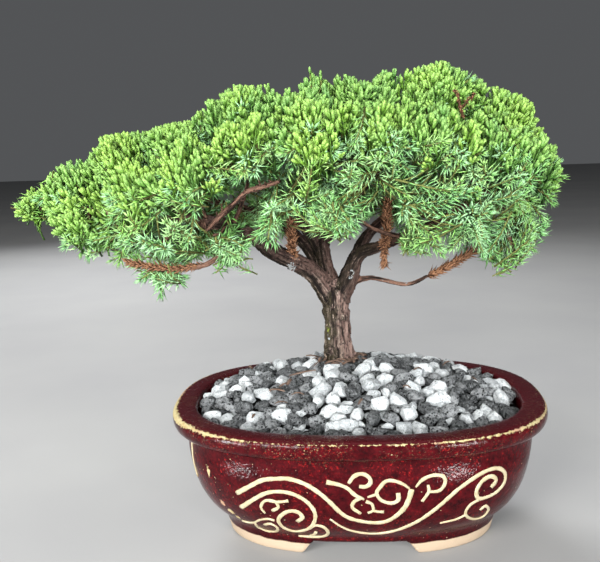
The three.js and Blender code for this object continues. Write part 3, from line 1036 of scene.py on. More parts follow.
@dataclass
class OvalPot:
    """The glazed oval pot: a profile spun round and squeezed to its oval, on four feet.

    The core is the half length and half width up to which the ovals keep their proportions.
    """

    core: tuple[float, float] = (60.0, 35.6)
    depth_loss: float = 24.4
    exponent: float = 2.5
    columns: int = 280
    underside: float = 8.6
    front_notch: tuple[float, float] = (23.5, 31.0)
    end_notch: tuple[float, float] = (14.0, 20.5)
    drain_radius: float = 6.0
    drain_offset: float = 34.0
    lip: tuple[float, float] = (100.9, 70.0)
    groove: tuple[float, float] = (94.9, 61.3)
    chips: tuple[Spot, ...] = (
        (-77.0, 45.4, 1.4, 3.0), (-70.5, 27.5, 2.0, 2.2), (-66.5, 23.0, 2.4, 2.2),
        (-63.0, 19.5, 1.6, 1.8), (70.5, 15.5, 1.3, 1.3),
    )
    outer: tuple[tuple[float, float], ...] = (
        (0, 8.6), (24, 8.6), (46, 8.6), (58, 8.6), (62.2, 8.3), (63.4, 6.8), (64.0, 3.4),
        (64.3, 0.9), (65.0, 0.2), (66.2, 0), (72.0, 0), (73.2, 0.3), (73.8, 1.2), (74.2, 3.6),
        (74.9, 6.4), (75.4, 8.8), (75.9, 10.4), (77.0, 12.2), (79.4, 14.4), (82.0, 17.0),
        (84.7, 20.3), (87.0, 24.0), (89.0, 28.0), (90.5, 32.0), (91.6, 36.0), (92.5, 40.0),
        (93.2, 44.0), (93.7, 48.0), (94.0, 52.0), (94.1, 56.0), (94.0, 59.2), (94.2, 60.6),
        (94.9, 61.3), (96.1, 61.2), (97.6, 61.0), (99.3, 61.5), (100.6, 62.9), (101.4, 64.8),
        (101.6, 66.8), (101.4, 68.6), (100.7, 70.1), (99.6, 71.0), (98.0, 71.3), (94.5, 71.3),
        (91.2, 71.3), (89.6, 71.0), (88.7, 70.2),
    )
    inner: tuple[tuple[float, float], ...] = (
        (88.3, 68.6), (88.0, 64), (87.5, 58), (86.6, 48), (85.4, 38), (82.6, 28.5), (79.2, 22.4),
        (75.0, 18.4), (68, 16.2), (50, 15.5), (25, 15.5), (0, 15.5),
    )

    def oval(self, size: float, turn: float) -> tuple[float, float]:
        """Gives the point of the oval of that half length at a turn.

        Args:
            size: The half length.
            turn: The angle round the middle.

        Returns:
            Across and along.
        """
        long, deep = self.core
        wide = size - self.depth_loss if size >= long else size * deep / long
        if size < 1e-6:
            return 0.0, 0.0
        angle = math.atan2(wide * math.sin(turn), size * math.cos(turn))
        reach = (
            abs(math.cos(angle) / size) ** self.exponent
            + abs(math.sin(angle) / wide) ** self.exponent
        ) ** (-1 / self.exponent)
        return reach * math.cos(angle), reach * math.sin(angle)

    def sizes_at(self, x: np.ndarray, y: np.ndarray) -> np.ndarray:
        """Gives the half length of the oval that runs through each point.

        Args:
            x: The points' places across.
            y: Their places along.

        Returns:
            The half lengths.
        """
        low, high = np.zeros(len(x)), np.full(len(x), 120.0)
        long, deep = self.core
        for _ in range(32):
            middle = (low + high) / 2
            wide = np.where(middle >= long, middle - self.depth_loss, middle * deep / long)
            inside = (np.abs(x) / middle) ** self.exponent + (np.abs(y) / wide) ** self.exponent
            low, high = np.where(inside > 1, middle, low), np.where(inside > 1, high, middle)
        return (low + high) / 2

    def arch(self, x: float, y: float) -> float:
        """Gives how high the foot ring is cut away at a place.

        Args:
            x: The place across.
            y: The place along.

        Returns:
            The height.
        """
        across, near, far = (
            (abs(x), *self.front_notch) if abs(y) > 30 else (abs(y), *self.end_notch)
        )
        share = min(1.0, max(0.0, (far - across) / (far - near)))
        return (self.underside - 0.4) * share * share * (3 - 2 * share)

    def wall(self, x: float, z: float) -> Vector:
        """Gives the point of the front wall at a place across and a height.

        Args:
            x: The place across.
            z: The height.

        Returns:
            The point.
        """
        outer = [(a, h) for a, h in self.outer if 0 < a and h >= 10][:18]
        size = float(np.interp(z, [h for _, h in outer], [a for a, _ in outer]))
        share = max(0.0, 1 - (abs(x) / size) ** self.exponent)
        return Vector((x, -(size - self.depth_loss) * share ** (1 / self.exponent), z))

    def turned(self, profile: Sequence[tuple[float, float]], steps: int) -> BMesh:
        """Spins a profile and squeezes it to the pot's oval.

        Args:
            profile: The half length and height of each point.
            steps: The number of columns.

        Returns:
            The shape.
        """
        bm = new_mesh(False)
        chain = [bm.verts.new((size, 0, z)) for size, z in profile]
        edges = [bm.edges.new(pair) for pair in zip(chain, chain[1:])]
        bmesh.ops.spin(
            bm, geom=chain + edges, axis=(0, 0, 1), cent=(0, 0, 0), angle=2 * math.pi,
            steps=steps, use_merge=True,
        )
        bmesh.ops.remove_doubles(bm, verts=bm.verts[:], dist=1e-4)
        for vert in bm.verts:
            size, turn = math.hypot(vert.co.x, vert.co.y), math.atan2(vert.co.y, vert.co.x)
            vert.co.x, vert.co.y = self.oval(size, turn)
        return bm

    def body_mesh(self) -> Mesh:
        """Turns the profile, cuts the arches and drills the two drain holes."""
        bm = self.turned(self.outer + self.inner, self.columns)
        for vert in bm.verts:
            if vert.co.z < self.underside:
                vert.co.z = max(vert.co.z, self.arch(vert.co.x, vert.co.y))
        body = to_mesh(bm, "pot_body")
        drill, size = new_mesh(False), self.drain_radius
        for side in (-1, 1):
            bmesh.ops.create_cone(
                drill, cap_ends=True, segments=40, radius1=size, radius2=size, depth=30,
                matrix=Matrix.Translation((side * self.drain_offset, 0, 12)),
            )
        cutter = stand("drill", to_mesh(drill, "drill"))
        how = {"operation": "DIFFERENCE", "solver": "EXACT", "object": cutter}
        cut = evaluated(body, ("BOOLEAN", how))
        bpy.data.objects.remove(cutter)
        return cut

    def wear(self, points: np.ndarray) -> tuple[np.ndarray, np.ndarray]:
        """Works out where the glaze is worn to clay, and where it is the lip's darker red.

        Args:
            points: The mesh's points.

        Returns:
            The wear and the lip shade of each point.
        """
        x, y, z = points.T
        size = self.sizes_at(x, y)
        turn = np.arctan2(y, x)
        lip_line = np.hypot(size - self.lip[0], z - self.lip[1])
        left, right = np.maximum(0, -np.cos(turn)), np.maximum(0, np.cos(turn))
        ripple = 0.5 + 0.5 * np.sin(turn * 5 + 0.7) * np.cos(turn * 3 - 1.1)
        width = 0.80 + 1.7 * left**4 + 0.5 * right**3 + 0.4 * ripple
        missing = np.exp(-(((np.abs(turn) - 2.12) / 0.22) ** 2))
        strength = 0.60 + 0.34 * left**2 + 0.16 * right**2 + 0.12 * ripple - 0.24 * missing
        wear = np.exp(-((lip_line / width) ** 2)) * strength
        groove = np.hypot(size - self.groove[0], (z - self.groove[1]) * 1.2)
        wear = np.maximum(wear, np.exp(-((groove / 0.7) ** 2)) * (0.42 + 0.22 * ripple))
        lip = np.clip((z - 69.6) / 1.2, 0, 1) * (size < 100.8)
        return wear, lip

    def flakes(self) -> list[tuple[Vector, float, float]]:
        """Gives the place, width and height of each chip, on both long sides."""
        turned = Matrix.Rotation(math.pi, 4, "Z")
        front = [(self.wall(x, z), wide, tall) for x, z, wide, tall in self.chips]
        return front + [(turned @ place, wide, tall) for place, wide, tall in front]

    def build(self, glaze: Material) -> None:
        """Builds and dresses the pot."""
        mesh = self.body_mesh()
        wear, lip = self.wear(coordinates(mesh))
        carry(mesh, "wear", wear)
        carry(mesh, "lip", lip)
        place_piece(mesh, "oval_pot", [glaze], Slot.POT, "pot")


@dataclass(frozen=True)
class Stroke:
    """One line of the scrollwork, by places across and up the front wall."""

    line: tuple[tuple[float, float], ...]
    start: float = 1.0
    end: float = 1.0
    body: float = 2.1


@dataclass
class Scrollwork:
    """Raised cream vine scrolls on the pot's front, and again half a turn round."""

    pot: OvalPot
    lift: float = 0.55
    sink: float = 0.35
    step: float = 1.3
    strokes: tuple[Stroke, ...] = (
        Stroke((
            (-61.2, 37.8), (-53.8, 43.5), (-46.8, 48.0), (-38.7, 49.6), (-33.2, 49.8),
            (-26.0, 47.6), (-19.8, 43.4), (-14.2, 37.9), (-9.5, 32.1), (-4.7, 28.2), (3.6, 25.5),
            (11.4, 25.4), (16.8, 28.6), (21.6, 34.0), (23.9, 39.2), (25.2, 44.6),
        ), 2.6, 2.8, 2.3),
        Stroke((
            (24.2, 44.9), (21.6, 47.2), (17.3, 49.3), (13.0, 49.4), (10.1, 46.2), (8.4, 43.0),
            (10.5, 39.1), (15.3, 37.2), (18.7, 38.8), (18.7, 42.8),
        ), 1.0, 2.6, 1.9),
        Stroke(((8.6, 42.4), (7.1, 41.9), (4.0, 40.8)), 1.6, 0.8, 1.3),
        Stroke((
            (-59.9, 29.0), (-52.2, 36.2), (-45.7, 40.8), (-39.0, 42.5), (-32.1, 41.7),
            (-25.9, 38.1), (-22.2, 32.6), (-22.0, 26.4), (-25.4, 19.9), (-32.3, 16.3),
            (-37.8, 18.2), (-40.6, 23.8), (-38.7, 28.2), (-34.6, 31.4), (-30.2, 31.2),
            (-28.2, 27.9), (-30.8, 24.8),
        ), 2.6, 2.4, 2.1),
        Stroke((
            (-47.0, 28.2), (-48.9, 31.9), (-46.5, 36.2), (-41.6, 36.6), (-39.9, 33.2),
            (-43.2, 30.6),
        ), 0.9, 2.0, 1.6),
        Stroke(((-45.0, 36.6), (-40.0, 36.4), (-34.6, 37.6)), 1.4, 1.9, 1.6),
        Stroke((
            (-60.8, 17.3), (-57.6, 17.4), (-54.0, 19.0), (-50.6, 22.4), (-46.0, 24.4),
            (-42.6, 23.8),
        ), 1.9, 1.3, 1.3),
        Stroke((
            (-53.6, 18.6), (-52.6, 13.8), (-48.2, 11.6), (-43.0, 13.2), (-41.8, 18.0),
            (-45.0, 20.8), (-48.4, 18.8),
        ), 1.2, 1.9, 1.5),
        Stroke((
            (-24.4, 21.0), (-21.2, 22.8), (-17.2, 20.8), (-16.0, 16.1), (-18.6, 12.4),
            (-24.0, 11.4), (-31.4, 11.4),
        ), 1.3, 0.9, 1.9),
        Stroke(((-22.0, 17.4), (-23.0, 14.4), (-25.6, 12.2)), 1.7, 1.2, 1.6),
        Stroke((
            (-14.4, 27.6), (-9.3, 22.5), (-2.9, 18.4), (6.0, 16.2), (14.0, 17.3), (22.3, 21.2),
            (30.0, 26.4), (37.7, 33.0), (43.9, 38.8), (48.3, 42.6), (56.3, 47.5), (63.0, 49.8),
            (68.6, 49.3), (72.3, 45.3), (72.2, 39.8), (68.0, 35.7), (62.1, 34.3), (58.4, 35.0),
            (57.2, 39.4), (60.0, 44.5), (64.7, 46.1), (67.5, 43.0), (65.0, 39.6),
        ), 0.9, 2.4, 2.1),
        Stroke((
            (59.0, 34.2), (54.6, 32.0), (52.3, 28.0), (53.6, 23.6), (58.3, 20.2), (62.9, 21.0),
            (64.7, 25.5), (62.6, 28.8), (60.0, 26.8),
        ), 1.6, 2.0, 1.6),
        Stroke(((53.2, 26.0), (47.6, 23.6), (39.6, 22.4)), 1.5, 0.7, 1.3),
        Stroke((
            (27.1, 45.6), (30.4, 49.4), (35.5, 51.3), (40.4, 50.3), (41.3, 46.5), (38.6, 42.8),
            (33.6, 42.6),
        ), 0.8, 1.4, 1.9),
        Stroke(((33.1, 46.4), (33.4, 42.6), (30.3, 37.5)), 1.3, 1.8, 1.6),
        Stroke((
            (-15.6, 49.0), (-9.5, 47.6), (-5.4, 45.6), (-2.0, 42.0), (2.4, 39.6),
        ), 2.6, 1.2, 2.0),
        Stroke((
            (-4.9, 48.4), (-2.2, 52.1), (1.6, 53.3), (5.0, 51.4), (5.5, 48.5), (3.4, 46.6),
            (0.1, 46.7),
        ), 1.6, 1.9, 2.1),
        Stroke(((1.4, 40.4), (-2.2, 38.6), (-3.4, 34.9), (0.6, 31.2)), 1.2, 1.7, 1.9),
        Stroke(((3.2, 38.4), (6.1, 36.8), (6.6, 33.0), (4.1, 31.7)), 1.9, 1.4, 1.5),
        Stroke(((6.0, 33.4), (8.6, 32.4), (11.8, 32.2)), 1.2, 1.7, 1.4),
        Stroke(((-87.2, 57.0), (-87.4, 50.0), (-87.0, 43.0), (-85.8, 36.0)), 0.9, 0.7, 0.9),
    )

    def ribbon(self, bm: BMesh, stroke: Stroke) -> None:
        """Lays one stroke on the wall as a low rounded ribbon.

        Args:
            bm: The mesh that takes it.
            stroke: The stroke.
        """
        line = [self.pot.wall(x, z) for x, z in curve_through(stroke.line, self.step)]
        last = len(line) - 1
        shaped = []
        for k, point in enumerate(line):
            ahead = (line[min(k + 1, last)] - line[max(k - 1, 0)]).normalized()
            step_x = self.pot.wall(point.x + 0.5, point.z) - self.pot.wall(point.x - 0.5, point.z)
            step_z = self.pot.wall(point.x, point.z + 0.5) - self.pot.wall(point.x, point.z - 0.5)
            out = step_x.cross(step_z).normalized()
            across = out.cross(ahead).normalized()
            share = k / last
            near_start, near_end = max(0.0, 1 - share * 5), max(0.0, 1 - (1 - share) * 5)
            wide = stroke.body * (1 - near_start - near_end)
            wide += stroke.start * near_start + stroke.end * near_end
            wide *= 1 + 0.07 * math.sin(k * 1.7) + 0.05 * math.sin(k * 0.61)
            matrix = Matrix((across * wide / 2, out, ahead)).transposed().to_4x4()
            matrix.translation = point
            shaped.append(matrix)
        high, low = self.lift, -self.sink
        left = ((-1, low), (-0.92, high * 0.62), (-0.45, high))
        section = left + tuple((-across, up) for across, up in reversed(left))
        face = bm.faces.new([bm.verts.new(shaped[0] @ Vector((a, b, 0))) for a, b in section])
        for k in range(1, len(shaped)):
            face = draw_out(bm, face, shaped[k] @ shaped[k - 1].inverted(), k == 1)

    def build(self, slip: Material) -> None:
        """Builds and dresses the scrollwork of both long sides."""
        bm = new_mesh(False)
        for stroke in self.strokes:
            self.ribbon(bm, stroke)
        twin = bmesh.ops.duplicate(bm, geom=bm.verts[:] + bm.edges[:] + bm.faces[:])["geom"]
        half_turn = Matrix.Rotation(math.pi, 3, "Z")
        bmesh.ops.rotate(bm, verts=vertices_of(twin), cent=(0, 0, 0), matrix=half_turn)
        place_piece(to_mesh(bm, "scrolls"), "pot_scrollwork", [slip], Slot.POT)


# ---- the gravel


@dataclass
class Gravel:
    """The heaped top dressing: a grit bed, grey and white stones, and some litter."""

    pot: OvalPot
    edge_height: float = 67.0
    rise: float = 17.0
    middle_y: float = 14.0
    reach: tuple[float, float] = (91.6, 67.2)
    room: float = 87.0
    lengths: tuple[float, ...] = (11.5, 10.4, 9.6, 8.8, 8.0, 7.2, 6.4, 5.4)
    darts: int = 2600
    closeness: float = 0.78
    white_share: float = 0.40
    trunk: tuple[float, float, float] = (-9.5, 21.5, 9.0)
    shapes: int = 14
    bed_rings: int = 22
    bed_columns: int = 96
    bed_drop: float = 3.4
    bed_foot: float = 57.4
    seed: int = 41

    def height(self, x: float, y: float) -> float:
        """Gives the heap's height at a place."""
        out = (x / self.reach[0]) ** 2 + ((y - self.middle_y) / self.reach[1]) ** 2
        return self.edge_height + self.rise * (1 - min(1.0, out)) ** 1.1

    def stone(self, rng: random.Random, rough: float, chops: int) -> Mesh:
        """Makes one stone about 2 units long, chopped flat here and there.

        Args:
            rng: Random numbers.
            rough: How uneven its skin is.
            chops: How many flats it has.

        Returns:
            The stone's mesh.
        """
        bm = new_mesh()
        bmesh.ops.create_icosphere(bm, subdivisions=2, radius=1.0)
        cuts = []
        for _ in range(chops):
            cuts.append((drift(rng).normalized(), rng.uniform(0.55, 0.85)))
        offset = Vector((rng.uniform(0, 50), rng.uniform(0, 50), rng.uniform(0, 50)))
        for vert in bm.verts:
            vert.co *= 1 + 0.30 * noise.noise(vert.co * 1.3 + offset)
            for way, far in cuts:
                over = vert.co.dot(way) - far
                if over > 0:
                    vert.co -= way * over * 0.92
            vert.co += Vector(noise.noise_vector(vert.co * 3.4 + offset)) * rough
        squeeze = Matrix.Diagonal((1.05, rng.uniform(0.68, 0.9), rng.uniform(0.55, 0.8), 1.0))
        bmesh.ops.transform(bm, matrix=squeeze, verts=bm.verts[:])
        return to_mesh(bm, "stone")

    def packed(self, rng: random.Random, lengths: Sequence[float]) -> np.ndarray:
        """Throws stones at free places, the big ones first.

        Args:
            rng: Random numbers.
            lengths: The stones' lengths.

        Returns:
            Rows of place across, place along and length.
        """
        rows = [(self.trunk[0], self.trunk[1], self.trunk[2] * 2 / self.closeness - 8)]
        for long in lengths:
            for _ in range(self.darts):
                turn, share = rng.uniform(-math.pi, math.pi), math.sqrt(rng.random())
                x, y = (v * share for v in self.pot.oval(self.room - long * 0.36, turn))
                known = np.array(rows)
                gap = np.hypot(known[:, 0] - x, known[:, 1] - y)
                if (gap > (known[:, 2] + long) / 2 * self.closeness).all():
                    rows.append((x, y, long))
                elif rng.random() < 0.25 * (long > 10):
                    break
        return np.array(rows[1:])

    def layer(
        self, rng: random.Random, stones: dict[str, list[Mesh]], drop: float,
        lengths: Sequence[float], heaps: dict[str, Bunch], white_share: float,
    ) -> None:
        """Lays one layer of stones.

        Args:
            rng: Random numbers.
            stones: The shapes of each kind.
            drop: How far under the heap's surface it lies.
            lengths: The stones' lengths.
            heaps: What takes the stones, by kind.
            white_share: How many of them are white.
        """
        for x, y, long in self.packed(rng, lengths):
            clump = noise.noise(Vector((x, y, drop)) / 13)
            kind = "white" if rng.random() < white_share + 0.35 * clump else "grey"
            near = math.hypot(x - self.trunk[0], y - self.trunk[1])
            tone = rng.random() if kind == "white" else rng.random() ** 1.2
            if near < 16:
                kind, tone = "grey", tone * 0.25
            z = self.height(x, y) - drop + rng.uniform(-0.8, 0.9) - 0.10 * (long - 8)
            axis = Vector((rng.gauss(0, 0.3), rng.gauss(0, 0.3), 1))
            ahead = Vector((math.cos(long * 77 + x), math.sin(long * 77 + x), 0))
            size = long / 2 * (1.16 if kind == "white" and long > 7 else 1.0)
            scale = (size * rng.uniform(1.0, 1.25), size, size)
            place = frame_on(Vector((x, y, z)), axis, ahead, 0, scale)
            heaps[kind].add(rng.choice(stones[kind]), place, tone)

    def bed(self) -> Mesh:
        """Makes the grit that the stones lie on."""
        profile = [(self.room * k / self.bed_rings, 0) for k in range(self.bed_rings + 1)]
        bm = self.pot.turned(profile, self.bed_columns)
        for vert in bm.verts:
            rough = noise.noise(Vector((vert.co.x, vert.co.y, 0)) * 0.35)
            vert.co.z = self.height(vert.co.x, vert.co.y) - self.bed_drop + 1.1 * rough
        rim = [e for e in bm.edges if e.is_boundary]
        made = bmesh.ops.extrude_edge_only(bm, edges=rim)["geom"]
        for vert in vertices_of(made):
            vert.co.z = self.bed_foot
        skirt = [g for g in made if isinstance(g, bmesh.types.BMEdge) and g.is_boundary]
        bmesh.ops.contextual_create(bm, geom=skirt)
        return to_mesh(bm, "bed")

    def litter(self, rng: random.Random) -> Mesh:
        """Makes the bark flakes and twig bits that lie on the stones.

        Args:
            rng: Random numbers.

        Returns:
            Its mesh.
        """
        bm = new_mesh()
        spots = [(-30, -2, 15, 0.25, 1.3), (-44, -18, 12, -0.5, 1.6), (2, -34, 8, 1.2, 0.8)]
        for _ in range(34):
            turn, far = rng.uniform(0, 6.3), rng.uniform(8.5, 15)
            x, y = self.trunk[0] + far * math.cos(turn), self.trunk[1] + far * math.sin(turn)
            spots.append((x, y, rng.uniform(4, 9), rng.uniform(0, 3.1), rng.uniform(0.5, 1.8)))
        for _ in range(14):
            x, y = rng.uniform(-66, 66), rng.uniform(-42, 48)
            spots.append((x, y, rng.uniform(4, 10), rng.uniform(0, 3.1), rng.uniform(0.3, 1.1)))
        for x, y, long, turn, wide in spots:
            way = Vector((math.cos(turn), math.sin(turn), rng.uniform(-0.2, 0.2))).normalized()
            base = Vector((x, y, self.height(x, y) + 3.0)) - way * long / 2
            bend = Vector((0, 0, rng.uniform(0.3, 1.2)))
            middle = [base + way * long * share + bend for share in (0.35, 0.7)]
            path = [base, *middle, base + way * long]
            sizes = [(wide * s, min(wide * s, 0.38)) for s in (0.5, 1.0, 0.9, 0.4)]
            grow(bm, frames_along(path, way.cross(UP)), sizes, 5, 0.4, (0.1, 0.5, 0.3, 0.6, 0.9))
        return to_mesh(bm, "litter")

    def build(self) -> None:
        """Builds and dresses the heap."""
        rng = random.Random(self.seed)
        stones = {
            "grey": [self.stone(rng, 0.19, rng.choice((2, 3, 4))) for _ in range(self.shapes)],
            "white": [self.stone(rng, 0.08, rng.choice((6, 8, 9))) for _ in range(self.shapes)],
        }
        heaps = {"grey": Bunch(), "white": Bunch()}
        self.layer(rng, stones, 4.6, self.lengths[3:6], heaps, 0.18)
        self.layer(rng, stones, 0.4, self.lengths, heaps, self.white_share)
        for kind, finish in (("grey", GREY_STONE), ("white", WHITE_STONE)):
            mesh, made = heaps[kind].mesh(kind), [finish.make()]
            place_piece(mesh, kind + "_gravel", made, Slot.GRAVEL, "gravel", smooth=False)
        place_piece(self.bed(), "gravel_bed", [Grit().make()], Slot.GRAVEL, "gravel")
        place_piece(self.litter(rng), "gravel_litter", [DRY_LITTER.make()], Slot.BARK)


# ---- the wood


@dataclass(frozen=True)
class Limb:
    """A stretch of wood, by places and radii along its middle."""

    name: str
    line: tuple[Spot, ...]

    def rings(self, step: float) -> tuple[list[Vector], list[float]]:
        """Gives the points and radii along the limb, about step apart."""
        rows = curve_through(self.line, step)
        return [Vector(r[:3]) for r in rows], [r[3] for r in rows]


TRUNK = Limb("trunk", (
    (-9.5, 22, 62, 14), (-9.4, 22, 74, 12), (-9.3, 21.6, 84, 10.2), (-9.8, 20.8, 92, 8.3),
    (-10.2, 20, 100, 7.4), (-10.5, 19.4, 109, 7.1), (-10.9, 19, 118, 7.6), (-11.3, 19, 127, 7.2),
))
ROOTS = (
    Limb("root_left", ((-14, 20, 76, 6), (-38, 8, 62, 4), (-56, -4, 50, 2))),
    Limb("root_back", ((-4, 26, 76, 6), (16, 36, 60, 4), (30, 42, 48, 2))),
    Limb("root_right", ((-6, 16, 76, 6), (14, 0, 60, 4), (32, -14, 48, 2))),
    Limb("root_far_left", ((-14, 26, 76, 6), (-34, 38, 62, 4), (-48, 42, 50, 2))),
)
LIMBS = (
    Limb("left", (
        (-12, 19, 119, 6), (-22, 16, 135.5, 5.6), (-31, 12, 143.5, 5.2), (-38, 8, 147.5, 4.9),
        (-46, 4, 153, 4.6), (-54, 0, 160, 4.2), (-65, -5, 167, 3.6), (-90, -9, 173, 3),
        (-122, -4, 176, 2.3), (-150, 6, 178, 1.7), (-172, 12, 180, 1.1),
    )),
    Limb("middle", (
        (-11, 20, 120, 6), (-16, 22, 138, 5), (-18, 26, 147, 4.7), (-18, 31, 156, 4.2),
        (-15, 36, 168, 3.6), (-8, 42, 184, 2.8), (0, 48, 200, 1.8),
    )),
    Limb("grey_fork", (
        (-17, 25, 142, 3.8), (-25, 29, 157, 3.3), (-36, 33, 172, 2.7), (-58, 36, 204, 1.4),
    )),
    Limb("right", (
        (-10, 19, 119, 6), (-4.5, 17, 130, 5.2), (-1.2, 15.5, 138, 4.6), (1, 13.5, 144.5, 4),
        (5, 11, 149.5, 3.6), (12, 8, 152, 3.3), (24, 2, 157, 2.8), (42, -8, 166, 2.3),
        (60, -14, 177, 1.8), (76, -16, 186, 1.2),
    )),
    Limb("thin_low", (
        (-1, 16.5, 131.5, 2.2), (8, 15, 134, 1.7), (17, 13, 132.7, 1.5), (25.5, 11, 130.8, 1.4),
        (32, 9, 131.4, 1.3), (40, 7.2, 135.4, 1.2),
    )),
    Limb("back_right", ((-9, 21, 122, 5), (2, 34, 146, 3.8), (16, 48, 162, 3), (58, 62, 188, 1.3))),
    Limb("back_left", (
        (-14, 22, 130, 4.6), (-30, 38, 152, 3.6), (-54, 50, 168, 2.8), (-108, 48, 184, 1.2),
    )),
    Limb("upper_right", (
        (-17.5, 30, 153, 3.4), (-4, 26, 172, 2.8), (14, 22, 192, 2.2), (48, 20, 220, 1.2),
    )),
    Limb("far_right", (
        (12, 8, 152, 2.8), (36, 8, 160, 2.4), (62, 12, 172, 1.9), (86, 14, 182, 1.3),
    )),
    Limb("shown", (
        (-82, -8, 171, 1.9), (-76, -22, 167, 1.5), (-69, -27, 173, 1.7), (-61, -29, 180, 1.8),
        (-52.5, -30, 187, 1.6), (-43, -31, 189.5, 1.5), (-36, -31, 191.5, 1.1),
    )),
    Limb("low_left", (
        (-63, -4, 166, 2.4), (-72, -12, 152, 1.8), (-84, -14, 146.5, 1.5), (-102, -12, 146, 1.2),
    )),
)


